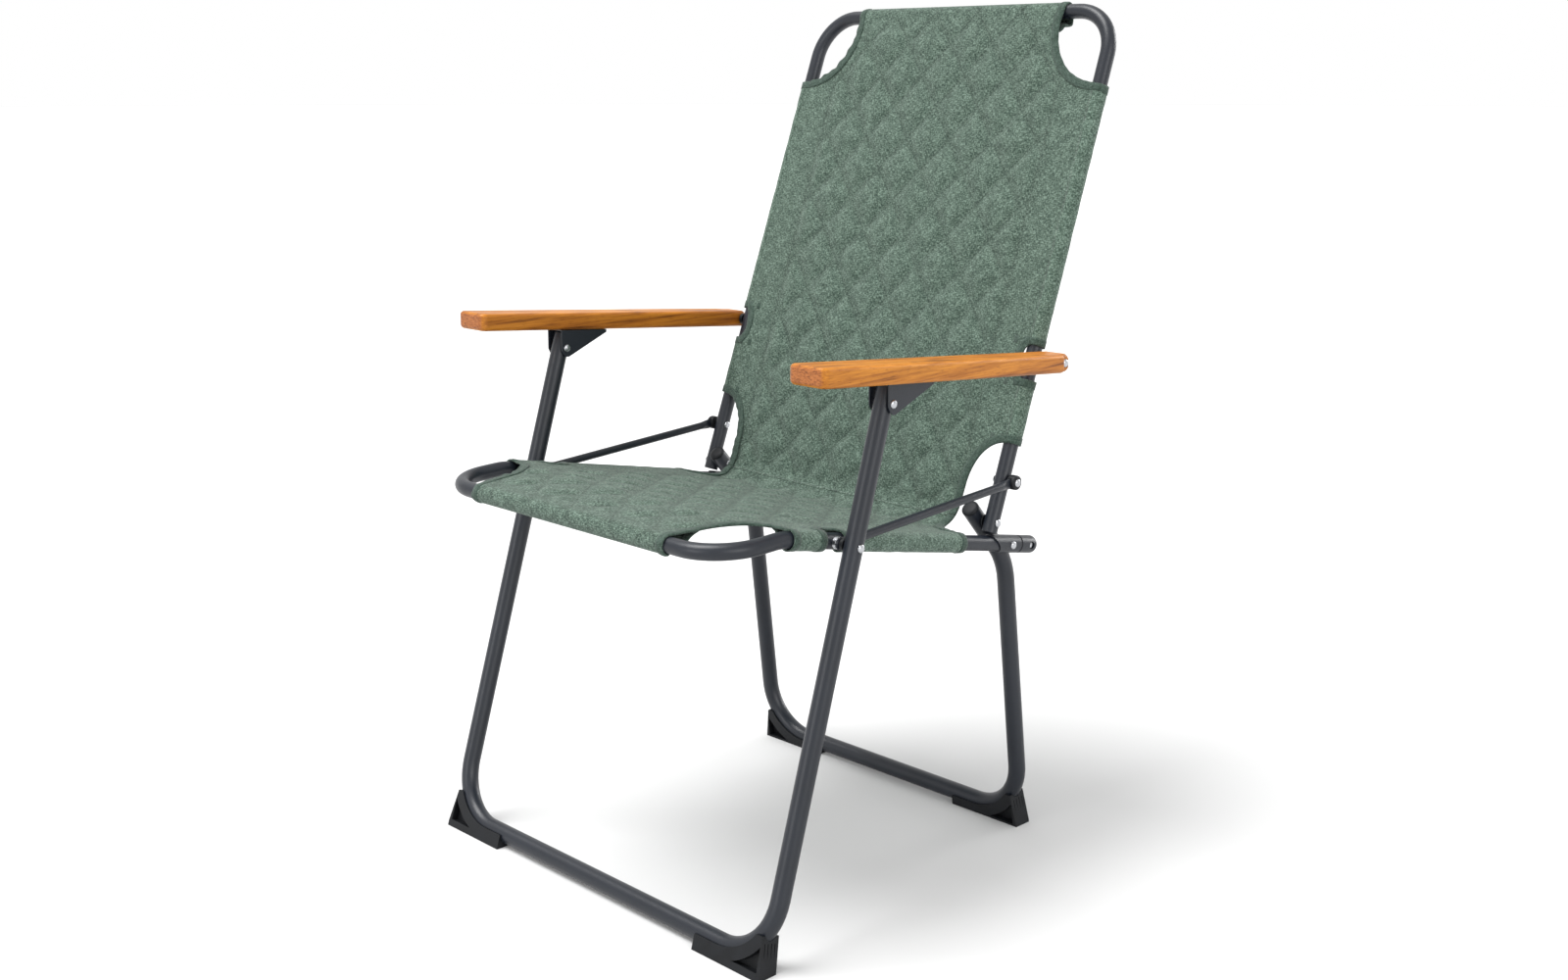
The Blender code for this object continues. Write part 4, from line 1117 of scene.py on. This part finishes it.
def tape(name, edge, side, body_call, seed):
    """Binding folded over an edge of the cloth; edge is a list of flat places."""
    edge = np.array(edge)
    run = np.r_[0.0, np.cumsum(np.hypot(*np.diff(edge, axis=0).T))]
    steps = max(4, round(run[-1] / 0.0022))
    places = np.linspace(0.0, run[-1], steps + 1)
    line = np.stack([np.interp(places, run, edge[:, i]) for i in (0, 1)], axis=1)
    way = np.gradient(line, places, axis=0)
    way /= np.hypot(*way.T)[:, None]
    inward = np.stack([-way[:, 1], way[:, 0]], axis=1)
    if np.sum(inward[:, 0] * side) > 0.0:
        inward = -inward
    section = [(-0.0014, 0.0), (-0.0009, 0.0010), (0.0006, 0.0016), (0.0050, 0.0018),
               (0.0082, 0.0016), (TAPE_WIDE, 0.0010), (TAPE_WIDE, -0.0010), (0.0082, -0.0015),
               (0.0050, -0.0017), (0.0006, -0.0015), (-0.0009, -0.0010)]
    points, flat = [], []
    for i, (spot, inside) in enumerate(zip(line, inward)):
        wave = noise.noise((places[i] / 0.0105, seed, 1.0))
        bulge = noise.noise((places[i] / 0.0090, seed, 5.0))
        for k, (d, h) in enumerate(section):
            loose = max(0.0, 1.0 - max(d, 0.0) / TAPE_WIDE)
            place_at = spot + inside * (d - 0.0015 * wave * loose)
            lift = h * (1.0 + 0.30 * bulge) + 0.0018 * wave * loose
            points.append((place_at[0], place_at[1], lift))
            flat.append((places[i], d + 0.5))
    points = np.array(points)
    world = PATH.world(points[:, 0], points[:, 1], points[:, 2])
    index, faces = wrapped_faces(steps + 1, len(section))
    piece = cloth_mesh(name, world, [*faces, index[0], index[-1][::-1]], flat, "tape")
    face_outward(piece.data)
    body_call(piece)
    return piece


def follow_seat(piece):
    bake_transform(piece)
    return piece


def follow_back(piece):
    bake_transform(piece)
    return piece


def make_bindings(side, s):
    """Tape along each corner cut, on to where the cloth's part ends, and along each notch."""
    pieces = {"seat": [], "back": []}

    def bind(body, name, s_values, seed):
        follow = follow_seat if body == "seat" else follow_back
        pieces[body].append(tape(f"{body}_{name}_binding_{side}", outline_points(s_values, s), s,
                                 follow, seed))

    runs = (("seat", "front", 0.002, 70, 11.0), ("seat", "rear", S_CREASE, 12, 17.0),
            ("back", "low", S_CREASE, 14, 23.0), ("back", "top", PATH.length - 0.002, 50, 31.0))
    for (leave, end, _), (body, name, last, count, seed) in zip(CUTS, runs):
        corner = sine_steps(end, leave - end, [90.0 * (1.0 - i / 26) for i in range(27)])
        bind(body, name, corner + list(np.linspace(end, last, count))[1:], seed * s)
    for body, (first, last) in zip(("seat", "back"), NOTCHES):
        line = sine_steps((first + last) / 2.0, (last - first) / 2.0, range(-90, 91, 6))
        bind(body, "notch", line, 41.0 * s + first)
    return pieces


def make_sleeves(side, s):
    """The cloth's sleeves round the side tubes, with a band of tape round each end."""
    pieces = {"seat": [], "back": []}
    for body, spans, to_s in (("seat", SEAT_SLEEVES, seat_s), ("back", BACK_SLEEVES, back_s)):
        for number, (first, last) in enumerate(spans, 1):
            low, high = sorted((to_s(first), to_s(last)))
            name = f"{body}_sleeve_{number}_{side}"
            pieces[body].append(sleeve(name, low, high, s, body, seed=5.0 * s + number))
            for end, (a, b) in (("a", (low, low + TAPE_WIDE)), ("b", (high - TAPE_WIDE, high))):
                pieces[body].append(sleeve(f"{name}_band_{end}", a, b, s, body, "tape", 0.0006,
                                           9.0 * s + number))
    return pieces


def make_cloth():
    seat = panel("seat_cloth", 0.0, S_CREASE)
    back = panel("back_cloth", S_CREASE, PATH.length)
    follow_seat(seat)
    follow_back(back)
    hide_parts("seat_fabric")
    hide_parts("back_fabric", "fabric_web")
    trims = {"seat": [], "back": []}
    for side, s in SIDES.items():
        for made in (make_sleeves(side, s), make_bindings(side, s)):
            for body in trims:
                trims[body] += made[body]


# ---- carried-over CAD nodes
def dress_cad_nodes():
    """Looks for the CAD nodes that stay as they are."""
    for name, node in frame["nodes"].items():
        if node.hide_render:
            continue
        look = "zinc" if "screw" in name else "powder_coat"
        node.data.materials.clear()
        node.data.materials.append(LOOKS[look])


# ---- floor, light and camera
def make_stage():
    bm = bmesh.new()
    bmesh.ops.create_circle(bm, cap_ends=True, segments=64, radius=60.0)
    mesh = bpy.data.meshes.new("floor")
    bm.to_mesh(mesh)
    bm.free()
    floor = add_object("floor", mesh)
    n = Nodes("floor_look")
    n.shade(Base_Color=(0.62, 0.62, 0.62, 1.0), Roughness=0.95, Specular_IOR_Level=0.05)
    mesh.materials.append(n.material)


def soft_sun(name, source, strength, spread):
    """Even light on the whole floor, from the direction of source."""
    light = bpy.data.lights.new(name, "SUN")
    light.energy = strength
    light.angle = math.radians(spread)
    lamp = add_object(name, light)
    lamp.location = source
    lamp.rotation_euler = Vector(source).to_track_quat("Z", "Y").to_euler()


def make_lights():
    world = bpy.data.worlds.new("studio")
    bpy.context.scene.world = world
    world.use_nodes = True
    background = world.node_tree.nodes["Background"]
    background.inputs["Color"].default_value = (1.0, 1.0, 1.0, 1.0)
    background.inputs["Strength"].default_value = 1.0
    soft_sun("top_key", (-0.9, -1.0, 3.2), 3.35, 34.0)
    soft_sun("front_strip", (-0.1, -1.0, 0.22), 0.55, 18.0)
    soft_sun("side_fill", (2.5, -0.6, 0.8), 0.9, 30.0)
    soft_sun("back_strip", (0.15, 1.0, 0.25), 0.9, 20.0)


def make_camera():
    camera = bpy.data.cameras.new("camera")
    camera.sensor_width = 36.0
    camera.lens = 41.2
    camera.shift_x, camera.shift_y = -0.0029, -0.0663
    holder = add_object("camera", camera)
    holder.location = (1.5889, -1.5557, 0.9587)
    holder.rotation_euler = (math.radians(80.23), 0.0, math.radians(45.40))
    bpy.context.scene.camera = holder
    bpy.context.scene.view_settings.view_transform = "Standard"


def main():
    make_camera()
    make_stage()
    make_lights()
    make_tubes()
    make_feet()
    for side, s in SIDES.items():
        make_pivots(side, s)
        seat_end(side, s)
        rear_leg_plug(side, s)
        side_rod(side, s)
        armrest(side, s)
    make_cloth()
    dress_cad_nodes()


main()
